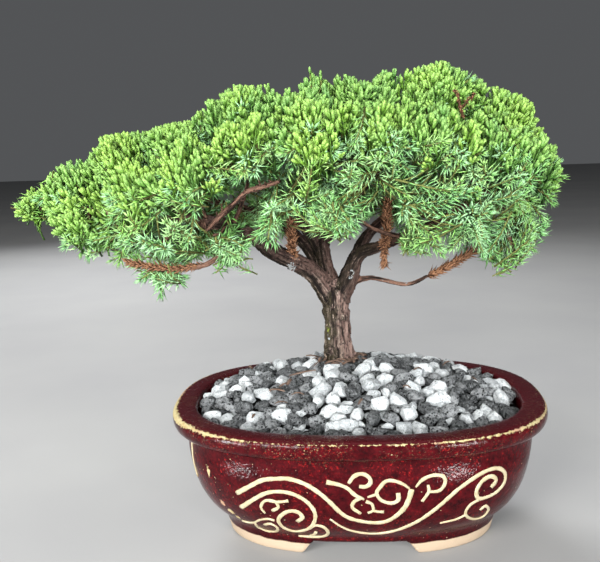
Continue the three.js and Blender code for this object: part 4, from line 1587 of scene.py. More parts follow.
@dataclass
class Wood:
    """Trunk, root flare, limbs and twigs, fused into one body and given its bark."""

    sprays: "Sequence[Spray]"
    ring_step: float = 2.4
    voxel: float = 0.8
    twig: float = 1.2
    furrow_depth: float = 0.17
    burls: tuple[Spot, ...] = (
        (-35.0, 8.0, 141.6, 1.7), (-13, 13.6, 119, 2.4), (-6, 14.0, 112, 2.2), (-15, 15.4, 92, 2.6),
    )
    moss_spots: tuple[Spot, ...] = (
        (-16.0, 14.2, 104.6, 2.2), (-16.4, 14.4, 107.6, 1.7), (-15.2, 13.8, 102.0, 1.4),
    )
    pale_spots: tuple[Spot, ...] = (
        (-16.6, 14.0, 99.6, 2.4), (-35.0, 6.6, 142.6, 2.8), (-34.2, 6.0, 139.4, 1.8),
        (-1.6, 10.6, 138.0, 1.6), (-2.2, 11.0, 135.2, 1.3), (-3.0, 12.4, 96, 1.6),
        (12.0, 13.0, 133.8, 0.5), (15.5, 11.9, 133.2, 0.4), (19.0, 11.2, 131.7, 0.5),
        (24.0, 10.0, 131.4, 0.4), (28.5, 9.0, 131.2, 0.5),
    )
    samples: list[tuple[Vector, Matrix, float, float]] = field(default_factory=list)

    def limb_tube(self, bm: BMesh, limb: Limb, sides: int) -> None:
        """Adds a limb's tube and keeps its middle line for the bark.

        Args:
            bm: The mesh that takes it.
            limb: The limb.
            sides: The ring's corners.
        """
        path, radii = limb.rings(self.ring_step)
        frames = frames_along(path)
        girth = [r * (1 + 0.07 * noise.noise(p * 0.11)) for p, r in zip(path, radii)]
        grow(bm, frames, [(r, r * 0.94) for r in girth], sides, radii[-1] * 0.6)
        for k, (point, matrix) in enumerate(zip(path, frames)):
            self.samples.append((point, matrix, radii[k], k * self.ring_step))

    def twigs(self) -> list[Limb]:
        """Gives a thin twig to each spray from the nearest limb, bowed a little upwards."""
        made = []
        bearing = [limb for limb in LIMBS if limb.name != "shown"]
        points = [(Vector(p), r) for limb in bearing for p, r in zip(*limb.rings(4))]
        for spray in self.sprays:
            goal = spray.centre + (Vector((7, 13, 4)) if spray.place[1] < 0 else Vector())
            start, radius = min(points, key=lambda row: (row[0] - goal).length)
            gap = spray.centre - start
            if gap.length < 0.42 * spray.size:
                continue
            middle = start + gap * 0.5 - UP * gap.length * 0.07
            first = min(radius, self.twig + 0.2)
            line = ((*start, first), (*middle, self.twig), (*spray.centre, self.twig * 0.7))
            made.append(Limb("twig_" + spray.name, line))
        return made

    def stubs(self) -> list[Limb]:
        """Gives the small spikes that dead side twigs have left on the bare limb."""
        rng = random.Random(5)
        path, radii = next(limb for limb in LIMBS if limb.name == "shown").rings(3.4)
        made = []
        for k in range(2, len(path)):
            out = Vector((rng.gauss(0, 0.7), -abs(rng.gauss(0.3, 0.4)), rng.gauss(0.3, 0.8)))
            tip = path[k] + out.normalized() * (radii[k] + rng.uniform(2.0, 4.6))
            line = ((*path[k], 0.75), (*path[k].lerp(tip, 0.6), 0.5), (*tip, 0.22))
            made.append(Limb("stub", line))
        return made

    def fused(self) -> Mesh:
        """Fuses the trunk and limbs into one closed skin and adds the twigs and stubs."""
        bm = new_mesh()
        self.limb_tube(bm, TRUNK, 20)
        for limb in ROOTS + LIMBS:
            self.limb_tube(bm, limb, 12)
        for *place, size in self.burls:
            at = Matrix.Translation(place)
            bmesh.ops.create_icosphere(bm, subdivisions=2, radius=size, matrix=at)
        skin = evaluated(
            to_mesh(bm, "tubes"),
            ("REMESH", {"mode": "VOXEL", "voxel_size": self.voxel, "adaptivity": 0.0}),
            ("SMOOTH", {"factor": 0.5, "iterations": 2}),
        )
        whole = new_mesh()
        for limb in self.twigs():
            self.limb_tube(whole, limb, 6)
        for limb in self.stubs():
            self.limb_tube(whole, limb, 5)
        bmesh.ops.recalc_face_normals(whole, faces=whole.faces[:])
        whole.from_mesh(skin)
        bpy.data.meshes.remove(skin)
        return to_mesh(whole, "wood", recalc=False)

    def bark(self, mesh: Mesh) -> None:
        """Cuts furrows along the grain and stores what the bark's finish reads.

        Args:
            mesh: The wood's mesh.
        """
        tree = kdtree.KDTree(len(self.samples))
        for k, (point, _, _, _) in enumerate(self.samples):
            tree.insert(point, k)
        tree.balance()
        count = len(mesh.vertices)
        grain, girth, furrow_shade = np.zeros((count, 3)), np.zeros(count), np.zeros(count)
        normals = [v.normal.copy() for v in mesh.vertices]
        points = coordinates(mesh)
        for k in range(count):
            here = Vector(points[k])
            near = tree.find_n(here, 5)
            index = min(near, key=lambda row: row[2] - self.samples[row[1]][2])[1]
            point, axes, radius, along = self.samples[index]
            local = axes.inverted_safe() @ here
            spot = Vector((local.x, local.y, (along + local.z) * 0.12))
            grain[k], girth[k] = spot, radius
            wave = spot + Vector(noise.noise_vector(here * 0.16)) * 0.9
            cut = 1 - abs(noise.noise(wave * (0.85 / max(0.75, radius / 7))))
            cut = max(0.0, (cut - 0.86) / 0.14) ** 1.3
            strip = noise.noise(wave * 0.8 + Vector((9, 4, 2)))
            depth = self.furrow_depth * min(radius, 8.0)
            move = -depth * cut + depth * 1.25 * strip + 0.12 * noise.noise(here * 1.3)
            points[k] += np.array(normals[k]) * move
            # Kept for the finish, which paints the cut furrows with shade.
            furrow_shade[k] = min(1.0, cut * 1.1) if radius > 2.6 else 0.4 * cut
        mesh.vertices.foreach_set("co", points.astype(np.float32).ravel())
        carry(mesh, "grain", grain * MM)
        carry(mesh, "girth", girth)
        carry(mesh, "furrow_shade", furrow_shade)
        # Painted light: how far each point faces +X, which the bark's finish paints as a lit side
        # and a shaded side.
        carry(mesh, "lit_side", np.array([0.5 + 0.45 * n.x for n in normals]))
        for name, spots in (("moss", self.moss_spots), ("pale", self.pale_spots)):
            value = np.zeros(count)
            for x, y, z, radius in spots:
                gap = np.linalg.norm(points - (x, y, z), axis=1)
                value = np.maximum(value, np.exp(-((gap / radius) ** 2)))
            carry(mesh, name, value)

    def build(self, bark: Material) -> None:
        """Builds and dresses the wood."""
        mesh = self.fused()
        self.bark(mesh)
        place_piece(mesh, "juniper_wood", [bark], Slot.BARK, "trunk_and_limbs")


# ---- the foliage


@dataclass(frozen=True)
class Spray:
    """One bough's worth of foliage: the egg-shaped room that its shoots fill."""

    name: str
    place: tuple[float, float, float]
    arms: tuple[float, float, float]
    habit: Habit
    tone: float

    @property
    def centre(self) -> Vector:
        """The middle of the room."""
        return Vector(self.place)

    @property
    def size(self) -> float:
        """The room's mean half size."""
        return sum(self.arms) / 3


C, S, F, N = Habit.CREST, Habit.SHOULDER, Habit.FACE, Habit.NEEDLES
SPRAYS = tuple(Spray(*row) for row in (
    ("left_tip", (-182, 14, 178), (14, 15, 11), C, 0.2),
    ("left_end", (-157, 12, 187), (21, 23, 17), C, 0.35),
    ("left_end_low", (-147, 6, 167), (21, 22, 15), C, 0.3),
    ("left_crest", (-127, 14, 201), (23, 26, 22), C, 0.35),
    ("left_crest_front", (-112, -16, 184), (22, 22, 20), S, 0.2),
    ("left_crest_back", (-124, 40, 187), (23, 24, 21), C, 0.4),
    ("left_low", (-119, 8, 162), (22, 24, 19), S, 0.35),
    ("left_low_front", (-101, -20, 159), (21, 20, 18), N, 0.6),
    ("left_low_back", (-104, 38, 162), (23, 24, 19), F, 0.6),
    ("left_hanging", (-106, -4, 144), (19, 18, 14), N, 0.5),
    ("mid_left_top", (-93, 13, 210), (23, 28, 22), C, 0.35),
    ("mid_left_front", (-80, -28, 192), (22, 23, 21), S, 0.15),
    ("mid_left_back", (-92, 56, 193), (23, 26, 22), S, 0.4),
    ("mid_left_low", (-84, 11, 173), (22, 27, 18), N, 0.6),
    ("mid_left_low_front", (-71, -28, 165), (21, 22, 19), N, 0.7),
    ("mid_left_low_back", (-74, 56, 169), (22, 25, 19), N, 0.6),
    ("mid_left_hanging", (-68, -12, 153), (15, 16, 12), N, 0.8),
    ("crown_left_top", (-59, 15, 222), (23, 28, 23), S, 0.5),
    ("crown_left_front", (-49, -31, 202), (22, 24, 22), S, 0.15),
    ("crown_left_back", (-58, 60, 207), (23, 26, 23), S, 0.4),
    ("crown_left_low", (-48, 13, 189), (22, 28, 18), N, 0.6),
    ("crown_left_low_front", (-40, -34, 176), (21, 22, 19), N, 0.6),
    ("crown_left_low_back", (-40, 62, 177), (22, 25, 19), N, 0.6),
    ("crown_mid_left_top", (-24, 15, 221), (22, 28, 22), F, 0.5),
    ("crown_mid_left_front", (-18, -33, 209), (22, 24, 22), S, 0.1),
    ("crown_mid_left_back", (-22, 62, 211), (23, 26, 23), S, 0.4),
    ("crown_mid_left_low", (-12, 15, 190), (22, 28, 18), N, 0.6),
    ("crown_mid_low_front", (-7, -35, 180), (21, 23, 19), N, 0.7),
    ("crown_mid_low_back", (-4, 62, 179), (22, 25, 19), N, 0.6),
    ("crown_mid_right_top", (11, 15, 229), (22, 28, 23), S, 0.45),
    ("crown_mid_right_front", (14, -35, 207), (22, 24, 22), F, 0.4),
    ("crown_mid_right_back", (14, 62, 212), (23, 26, 23), S, 0.4),
    ("crown_mid_right_low", (25, 15, 193), (22, 28, 18), N, 0.6),
    ("crown_right_low_front", (26, -34, 179), (21, 22, 19), N, 0.55),
    ("crown_right_low_back", (32, 62, 178), (22, 25, 19), N, 0.6),
    ("crown_right_top", (47, 15, 232), (23, 28, 24), C, 0.4),
    ("crown_right_front", (46, -33, 204), (22, 24, 22), F, 0.35),
    ("crown_right_back", (49, 60, 211), (23, 26, 23), S, 0.4),
    ("crown_right_low", (61, 11, 184), (22, 27, 20), N, 0.7),
    ("right_low_front", (58, -29, 172), (22, 22, 20), N, 0.8),
    ("right_low_back", (65, 54, 174), (23, 25, 20), N, 0.6),
    ("right_top", (81, 14, 216), (22, 26, 21), S, 0.35),
    ("right_front", (78, -23, 195), (22, 23, 21), F, 0.6),
    ("right_back", (82, 50, 196), (22, 25, 22), S, 0.4),
    ("right_end", (101, 12, 190), (20, 24, 20), S, 0.4),
    ("right_end_low", (87, 8, 162), (20, 24, 18), N, 0.75),
    ("right_hanging", (85, -11, 147), (15, 15, 12), N, 0.8),
    ("centre_low_front", (28, -14, 158), (17, 16, 13), N, 0.7),
))


@dataclass
class Crown:
    """The soft skin round all the sprays together, which closes the creases between them."""

    softness: float = 5.0
    reach: tuple[float, float, float] = (1.34, 0.84, 0.02)

    def __post_init__(self) -> None:
        """Keeps the sprays' middles and half sizes as rows."""
        self.middles = np.array([s.place for s in SPRAYS], float)
        self.arms = np.array([s.arms for s in SPRAYS], float)

    def sizes(self, points: np.ndarray) -> np.ndarray:
        """Gives for each point and spray how many half sizes it is from the spray's middle."""
        return np.linalg.norm((points[:, None] - self.middles) / self.arms, axis=2)

    def skin(self, index: int, ways: np.ndarray) -> tuple[np.ndarray, np.ndarray, np.ndarray]:
        """Finds where rays from a spray's middle leave the skin.

        Args:
            index: The spray.
            ways: The rays' directions before they are stretched to the spray's room.

        Returns:
            The points, the skin's outward directions there, and which rays are this spray's own.
        """
        first, last, step = self.reach
        found = np.zeros(len(ways))
        for share in np.arange(last, first, step):
            points = self.middles[index] + ways * self.arms[index] * share
            pull = np.exp(-self.softness * (self.sizes(points) - 1)).sum(axis=1)
            found[pull >= 1] = share
        shown = (found > 0) & (found < first - step * 1.5)
        points = self.middles[index] + ways * self.arms[index] * found[:, None]
        sizes = self.sizes(points)
        shown &= sizes.argmin(axis=1) == index
        pull = np.exp(-self.softness * (sizes - 1))
        slope = (points[:, None] - self.middles) / self.arms**2
        slope = slope / np.maximum(sizes, 1e-6)[:, :, None]
        outward = (slope * pull[:, :, None]).sum(axis=1)
        outward /= np.linalg.norm(outward, axis=1)[:, None]
        return points, outward, shown


@dataclass
class Sprigs:
    """The few shapes that all the foliage is set out with."""

    seed: int = 7
    shoot_sides: int = 4
    kinds: int = 6

    def __post_init__(self) -> None:
        """Makes the shapes."""
        rng = random.Random(self.seed)
        self.shoots = [self.shoot(bend) for bend in (0.08, 0.22, 0.38)]
        self.needle = self.make_needle()
        self.rod, self.green_rod = self.make_rod(2), self.make_rod(0)
        self.fans = [self.fan(rng) for _ in range(self.kinds)]
        self.twigs = [
            self.needle_twig(rng, rng.choice((8, 9, 10)), 2.6, 8.2) for _ in range(self.kinds)
        ]
        self.tufts = [self.needle_twig(rng, 5, 1.9, 6.6) for _ in range(3)]

    def shoot(self, bend: float) -> Mesh:
        """Makes a blunt scale-leaved shoot one unit long, along Z and bent towards X.

        Args:
            bend: How far its tip leans over.

        Returns:
            Its mesh.
        """
        bm = new_mesh()
        path = [Vector((0, 0, 0)), Vector((bend * 0.2, 0, 0.46)), Vector((bend, 0, 0.86))]
        sizes = [(0.10, 0.10), (0.165, 0.165), (0.15, 0.15)]
        grow(bm, frames_along(path), sizes, self.shoot_sides, 0.13, (0.2, 0.5, 0.9, 1.0))
        return to_mesh(bm, "shoot")

    def make_needle(self) -> Mesh:
        """Makes an awl-shaped needle one unit long, along Z, with its pale face towards X."""
        bm = new_mesh()
        tip, pale = bm.verts.layers.float["tip"], bm.faces.layers.float["face"]
        place = Matrix.Translation((0, 0, 0.34)) @ Matrix.Diagonal((0.045, 0.092, 1, 1))
        matrix = place @ Matrix.Rotation(math.pi / 3, 4, "Z")
        ring = bmesh.ops.create_circle(bm, cap_ends=True, segments=3, radius=1, matrix=matrix)
        lowest = list(ring["verts"][0].link_faces)
        top = vertices_of(bmesh.ops.extrude_face_region(bm, geom=lowest)["geom"])
        bmesh.ops.pointmerge(bm, verts=top, merge_co=(0.07, 0, 1))
        base = next(f for f in bm.faces if all(v.co.z < 0.5 for v in f.verts))
        bmesh.ops.poke(bm, faces=[base])["verts"][0].co = Vector((0, 0, 0))
        bmesh.ops.recalc_face_normals(bm, faces=bm.faces[:])
        for vert in bm.verts:
            vert[tip] = vert.co.z
        for face in bm.faces:
            face[pale] = 1.0 if face.normal.x > 0.6 else 0.0
            face.material_index = 1
        return to_mesh(bm, "needle")

    def make_rod(self, material: int) -> Mesh:
        """Makes a thin bowed stem one unit long and one thick, along Z.

        Args:
            material: Its material's place in the foliage's row.

        Returns:
            Its mesh.
        """
        bm = new_mesh()
        path = [Vector((0, 0, 0)), Vector((-2.2, 0, 0.5)), Vector((0, 0, 1))]
        frames = [Matrix.Translation(p) for p in path]
        for frame_ in frames:
            frame_[2][2] = 0.01
        grow(bm, frames, [(1.25, 1.25), (1, 1), (0.8, 0.8)], 3, 0, (0.05, 0.2, 0.4), material)
        return to_mesh(bm, "rod")

    def stem(
        self, bunch: Bunch, start: Vector, end: Vector, radius: float,
        tone: float | None = None, green: bool = False,
    ) -> None:
        """Adds a bowed stem between two places.

        Args:
            bunch: What takes it.
            start: Where it starts.
            end: Where it ends.
            radius: Its thickness.
            tone: Its tone.
            green: Whether it is green and not woody.
        """
        way = end - start
        if way.length > 0.5:
            place = frame_on(start, way, UP, 0, (radius, radius, way.length))
            bunch.add(self.green_rod if green else self.rod, place, tone)

    def fan(self, rng: random.Random) -> Mesh:
        """Makes a flat branchlet of crowded shoots that rises about 25 mm along Z.

        Args:
            rng: Random numbers.

        Returns:
            Its mesh.
        """
        bunch = Bunch()
        self.stem(bunch, Vector((0, 0, -4)), Vector((0.2, 0, 18)), 0.6, green=True)
        count = rng.choice((5, 6, 6, 7))
        for k in range(count):
            share = k / (count - 1)
            side = (-1) ** k
            base = Vector((0.2 * share, side * 0.25, 4.6 + 13.0 * share))
            out = Vector((rng.gauss(0.0, 0.45), side, 0)).normalized()
            lean = math.radians(rng.uniform(34, 50) * (1 - share) + 20 * share)
            way = out * math.sin(lean) + UP * math.cos(lean)
            long = (11.4 * (1 - share) + 6.4 * share) * rng.uniform(0.85, 1.12)
            shoot = self.shoots[2 if share < 0.45 else 1]
            bunch.add(shoot, frame_on(base, way, UP, 0, (6.4, 6.4, long)))
            if share < 0.65:
                twig = base + way * long * 0.42
                inner = (way + UP * 0.2 + out.cross(UP) * rng.choice((-1.0, 1.0))).normalized()
                bunch.add(self.shoots[1], frame_on(twig, inner, UP, 0, (6.0, 6.0, 6.4)))
        for turn in (0.0, rng.uniform(1, 5)):
            way = Vector((0.3 * math.sin(turn), 0.35 * math.sin(turn), 1))
            long = rng.uniform(6.0, 7.6)
            place = frame_on(Vector((0.2, 0, 17.4)), way, UP, turn, (6.4, 6.4, long))
            bunch.add(self.shoots[0], place)
        return bunch.mesh("fan")

    def needle_twig(self, rng: random.Random, whorls: int, apart: float, long: float) -> Mesh:
        """Makes a slender twig along Z with whorls of three needles.

        Args:
            rng: Random numbers.
            whorls: How many whorls it has.
            apart: How far apart they are.
            long: The needles' length.

        Returns:
            Its mesh.
        """
        bunch = Bunch()
        height = whorls * apart
        self.stem(bunch, Vector((0, 0, -2)), Vector((0.6, 0, height)), 0.46)
        for k in range(whorls):
            share = (k + 0.4) / whorls
            base = Vector((0.6 * share - 0.9 * math.sin(math.pi * share) * 0.42, 0, height * share))
            for j in range(3):
                around = (j / 3 + (k % 2) / 6) * 2 * math.pi + rng.gauss(0, 0.2)
                out = Vector((math.cos(around), math.sin(around), 0))
                way = out + UP * (0.62 + 0.75 * share**2 + rng.gauss(0, 0.14))
                swell = 0.80 + 0.28 * math.sin(math.pi * min(1.0, share + 0.2))
                size = long * swell * rng.uniform(0.86, 1.1)
                bunch.add(self.needle, frame_on(base, way, UP - out * 0.3, 0, (6.3, 6.3, size)))
        for j in range(3):
            around = j * 2.1 + rng.random()
            way = UP + Vector((math.cos(around), math.sin(around), 0)) * 0.3
            base, inward = Vector((0.6, 0, height - 0.4)), Vector((-way.x, -way.y, 0))
            bunch.add(self.needle, frame_on(base, way, inward, 0, (6.4, 6.4, long * 0.72)))
        return bunch.mesh("needle_twig")


@dataclass
class Foliage:
    """All the sprays.

    What stands before the dead sprigs and the bare limb is left open, and the branchlets keep
    inside the outline seen from the camera, whose places are measured at the outline's plane.
    """

    sprigs: Sprigs
    eye: Vector
    crown: Crown = field(default_factory=Crown)
    cell: float = 27.0
    shoot_gaps: float = 0.22
    needle_gaps: float = 0.44
    lying_gaps: float = 0.75
    shoot_length: float = 25.0
    twig_length: float = 26.0
    inner_tufts: int = 18
    sparse: tuple[str, ...] = ("left_hanging", "right_hanging")
    deep: tuple[str, ...] = ("crown_right_low", "right_low_front", "right_end_low", "mid_left_low")
    outline_plane: float = 14.0
    skyline: tuple[tuple[float, float], ...] = (
        (-195, 176), (-186, 187), (-176, 195), (-167, 203), (-158, 207), (-150, 206), (-140, 219),
        (-131, 221), (-114, 221), (-106, 224), (-89, 226), (-80, 236), (-71, 240), (-63, 244),
        (-38, 244), (-30, 238), (-22, 249), (-14, 245), (-5, 249), (3, 244), (11, 243), (19, 249),
        (35, 249), (43, 251), (51, 253), (59, 248), (67, 245), (75, 241), (83, 236), (91, 234),
        (99, 228), (107, 207), (115, 205),
    )
    hem: tuple[tuple[float, float], ...] = (
        (-196, 172), (-182, 176), (-173, 170), (-162, 156), (-145, 152), (-137, 142), (-128, 144),
        (-120, 132), (-94, 130), (-85, 141), (-76, 145), (-68, 139), (-59, 149), (-50, 160),
        (-42, 152), (-33, 162), (-24, 157), (-16, 161), (-8, 158), (1, 153), (26, 151), (34, 142),
        (51, 142), (59, 137), (67, 141), (84, 136), (92, 135), (100, 147), (108, 163), (115, 182),
    )
    fresh: tuple[Spot, ...] = ((37.4, -44, 196.1, 9.0), (-8, -50, 214, 7.0))
    trunk: tuple[float, float] = (-11.0, 20.0)
    seed: int = 19
    leader_lines: tuple[tuple[Place, Place], ...] = (
        ((-18.6, 12, 232), (-21.4, 10, 246.4)), ((-18.2, 11, 234), (-15.6, 10, 244.4)),
    )
    clearings: tuple[tuple[Place, Place, float], ...] = (
        ((16.6, 0, 152), (18, -7, 174), 7.4),
        ((-33.6, 3, 152), (-33, -2, 164), 7.4),
        ((-76, -23, 167), (-38, -31, 191), 7.6),
        ((51.9, -23, 233), (59, -23, 228), 5.6),
        ((-120, -14, 149), (-84, -14, 147), 6.4),
        ((48, 5, 139), (64, 3, 149), 4.6),
    )

    def __post_init__(self) -> None:
        """Works out the lines of sight that stay open."""
        rows = []
        for first, last, radius in self.clearings:
            a, b = Vector(first), Vector(last)
            steps = max(2, round((b - a).length / 3))
            for k in range(steps + 1):
                spot = a.lerp(b, k / steps)
                rows.append((*spot, *(self.eye - spot).normalized(), radius))
        self.sights = np.array(rows)

    def in_sight(self, points: Sequence[Vector]) -> bool:
        """Tells whether a point stands in an open line of sight.

        Args:
            points: The points, of which one is enough.

        Returns:
            Whether it does.
        """
        gap = np.array(points)[:, None] - self.sights[:, :3]
        along = (gap * self.sights[:, 3:6]).sum(axis=2)
        off = np.linalg.norm(gap - along[..., None] * self.sights[:, 3:6], axis=2)
        return bool(((along > -1.5) & (off < self.sights[:, 6])).any())

    def trim(self, point: Vector, room: float) -> float:
        """Gives how far a point has to rise to stand inside the crown's seen outline.

        Args:
            point: The point.
            room: How far inside it has to stand.

        Returns:
            The rise, which is negative where the point has to sink.
        """
        share = (self.outline_plane - self.eye.y) / (point.y - self.eye.y)
        seen = self.eye.lerp(point, share)
        low, high = (
            float(np.interp(seen.x, *zip(*edge), left=0.0, right=0.0))
            for edge in (self.hem, self.skyline)
        )
        return (max(0.0, low + room - seen.z) - max(0.0, seen.z + room - 1 - high)) / share

    def flow(self, point: Vector) -> Vector:
        """Gives the level direction in which the boughs grow at a place."""
        way = Vector(((point.x - self.trunk[0]) / 120, (point.y - self.trunk[1]) / 60, 0))
        return way / max(1.0, way.length)

    def set_out(self, index: int, rng: random.Random) -> Mesh:
        """Fills one spray's part of the skin.

        Args:
            index: The spray.
            rng: Its own random numbers.

        Returns:
            Its mesh.
        """
        spray, bunch = SPRAYS[index], Bunch()
        a, b, c = spray.arms
        mean = ((a * b) ** 1.6 + (a * c) ** 1.6 + (b * c) ** 1.6) / 3
        count = round(4 * math.pi * mean ** (1 / 1.6) / self.cell)
        k = np.arange(count)
        z, turn = 1 - (2 * k + 1) / count, GOLDEN_TURN * k + rng.uniform(0, 6)
        flat = np.sqrt(1 - z * z)
        ways = np.column_stack([flat * np.cos(turn), flat * np.sin(turn), z])
        points, outward, shown = self.crown.skin(index, ways)
        heart = spray.centre - UP * c * 0.2
        for point, normal in zip(points[shown], outward[shown]):
            self.one(bunch, spray, heart, Vector(point), Vector(normal), rng)
        self.inside(bunch, spray, rng)
        return bunch.mesh(spray.name)

    def one(
        self, bunch: Bunch, spray: Spray, heart: Vector, point: Vector, normal: Vector,
        rng: random.Random,
    ) -> None:
        """Sets one branchlet with its tip near a point of the skin.

        Args:
            bunch: What takes it.
            spray: The spray.
            heart: Where its stems come from.
            point: The point.
            normal: The skin's outward direction there.
            rng: Random numbers.
        """
        wave = noise.noise(point / 15) + 0.5 * noise.noise(point / 7)
        down = min(0.0, normal.z + 0.2)
        hollow = max(0.0, -0.10 - noise.noise(point / 9 + Vector((7, 3, 5))))
        out = 5.4 * wave + rng.gauss(-1.6, 1.6) + 3.5 * down - 23 * hollow
        out -= 2.5 * max(0.0, normal.z - 0.3)
        point = point + normal * out
        low = -20.0 if spray.name in self.deep else -9.0
        point.z += (5.0 if normal.z > 0 else low) * min(1.0, abs(normal.z) * 1.4)
        tone = spray.tone + 0.5 * noise.noise(point / 24) + rng.gauss(0, 0.12)
        tone = min(1.0, max(0.0, tone))
        flow = self.flow(point)
        loose = drift(rng)
        shooting = normal.z + 0.25 * wave > spray.habit.value + rng.gauss(0, 0.16)
        if any((point - Vector(spot[:3])).length < spot[3] for spot in self.fresh):
            shooting, tone = True, 0.0
        if shooting:
            rise = min(1.0, max(0.0, (normal.z + 0.35) / 0.6))
            axis = UP * (0.35 + 0.55 * rise) + normal * (0.8 - 0.44 * rise)
            axis = axis + flow * 0.3 + loose * 0.17
            scale, long = rng.uniform(0.78, 1.05), self.shoot_length
            if rng.random() < 0.08 and normal.z > 0.3:
                point = point + normal * rng.uniform(1, 3)
        else:
            along = flow * 0.9 + UP * 0.25 + loose * 0.55
            along -= normal * along.dot(normal)
            axis = along.normalized() * 0.8 + normal * rng.uniform(0.25, 0.9)
            scale, long = rng.uniform(0.80, 1.10), self.twig_length
        axis.normalize()
        lift = self.trim(point, 1.2 + 5.0 * (1 - abs(axis.z)))
        if abs(lift) > 20:
            return
        point.z += lift * rng.uniform(1.0, 1.25)
        gaps = self.shoot_gaps if shooting else self.needle_gaps
        sparse = spray.name in self.sparse
        gaps += (1 - gaps) * self.lying_gaps * (1 - abs(axis.dot(normal))) + 0.30 * sparse
        if rng.random() < gaps:
            return
        if sparse:
            point = point.lerp(heart, 0.2)
        root = point - axis * long * scale
        if float(self.crown.sizes(np.array([root])).min()) > 0.95:
            axis = (point - heart).normalized()
            scale *= 0.8
            root = point - axis * long * scale
        if self.in_sight([root.lerp(point, share / 5) for share in range(6)]):
            return
        kinds = self.sprigs.fans if shooting else self.sprigs.twigs
        roll = rng.gauss(0, 0.9)
        bunch.add(rng.choice(kinds), frame_on(root, axis, UP, roll, (scale,) * 3), tone)
        if shooting and spray.size > 16 and rng.random() < 0.7:
            low = root + axis * 3 + loose * 1.5
            way = axis + drift(rng, 0.6)
            if not self.in_sight([low + way.normalized() * 7]):
                place = frame_on(low, way, UP, roll, (scale,) * 3)
                bunch.add(rng.choice(self.sprigs.tufts), place, tone)
        self.sprigs.stem(bunch, heart.lerp(root, 0.35), root + axis, 0.5, tone, shooting)

    def inside(self, bunch: Bunch, spray: Spray, rng: random.Random) -> None:
        """Adds the shaded tufts that fill a spray's inside.

        Args:
            bunch: What takes them.
            spray: The spray.
            rng: Random numbers.
        """
        for _ in range(0 if spray.size < 16 else self.inner_tufts):
            way = drift(rng).normalized()
            arm = Vector([w * a for w, a in zip(way, spray.arms)])
            point = spray.centre + arm * rng.uniform(0.2, 0.66)
            if way.z < 0.45 and not self.in_sight([point - way * 5, point + way * 5]):
                place = frame_on(point - way * 6, way, UP, rng.uniform(0, 6), (1.2,) * 3)
                bunch.add(rng.choice(self.sprigs.tufts), place, 0.9)

    def leaders(self) -> Mesh:
        """Makes the two thin shoots that stand above the crown."""
        bunch = Bunch()
        for low, high in self.leader_lines:
            a, b = Vector(low), Vector(high)
            self.sprigs.stem(bunch, a, b, 0.6, 0.5)
            for k in range(8):
                base = a.lerp(b, 0.25 + 0.75 * k / 7)
                out = Vector((math.cos(k * 2.4), math.sin(k * 2.4), 1.0 + 0.2 * k))
                place = frame_on(base, out, UP, 0, (4.4, 4.4, 4.0))
                bunch.add(self.sprigs.shoots[1], place, 0.5)
        return bunch.mesh("leaders")

    def build(self) -> None:
        """Builds and dresses every spray."""
        greens = [finish.make() for finish in (GREEN_SHOOTS, GREEN_NEEDLES, WOODY_TWIG)]
        for k, spray in enumerate(SPRAYS):
            mesh = self.set_out(k, random.Random(self.seed * 1000 + k))
            name, node = "foliage_" + spray.name, "spray_" + spray.name
            place_piece(mesh, name, greens, Slot.FOLIAGE, node)
        place_piece(self.leaders(), "foliage_leaders", greens, Slot.FOLIAGE)


@dataclass(frozen=True)
class DeadSprig:
    """A withered twig, by places and radii along its stem and the spread of its needles."""

    name: str
    line: tuple[Spot, ...]
    needle: float
    step: float
    node: str = ""
    lean: float = 0.8
    ring_step: float = 1.4

    def build(self, sprigs: Sprigs, dead: Material, rng: random.Random) -> None:
        """Builds and dresses the sprig.

        Args:
            sprigs: The shapes that it takes its needles from.
            dead: Its finish.
            rng: Random numbers.
        """
        bm = new_mesh()
        rows = curve_through(self.line, self.ring_step)
        frames = frames_along([Vector(r[:3]) for r in rows])
        sizes = [(r[3] * 0.6, r[3] * 0.6) for r in rows]
        grow(bm, frames, sizes, 6, 0.5, [0.1] * len(rows) + [0.3])
        stem = to_mesh(bm, "stem")
        bunch = Bunch()
        bunch.add(stem, Matrix(), 0.2)
        bpy.data.meshes.remove(stem)
        long = self.ring_step * (len(rows) - 1)
        for k in range(int(long / self.step)):
            at = frames[min(len(frames) - 1, round(k * self.step / self.ring_step))]
            out = at.to_3x3() @ Vector((math.cos(k * 2.4), math.sin(k * 2.4), 0))
            ahead = at.to_3x3() @ Vector((0, 0, 1))
            way = out + ahead * rng.gauss(self.lean, 0.3)
            size = self.needle * rng.uniform(0.65, 1.15)
            place = frame_on(at.translation, way, ahead, 0, (9, 9, size))
            bunch.add(sprigs.needle, place, rng.random())
        mesh = bunch.mesh(self.name)
        mesh.polygons.foreach_set("material_index", np.zeros(len(mesh.polygons), np.int32))
        place_piece(mesh, self.name, [dead], Slot.DEAD, *([self.node] if self.node else []))


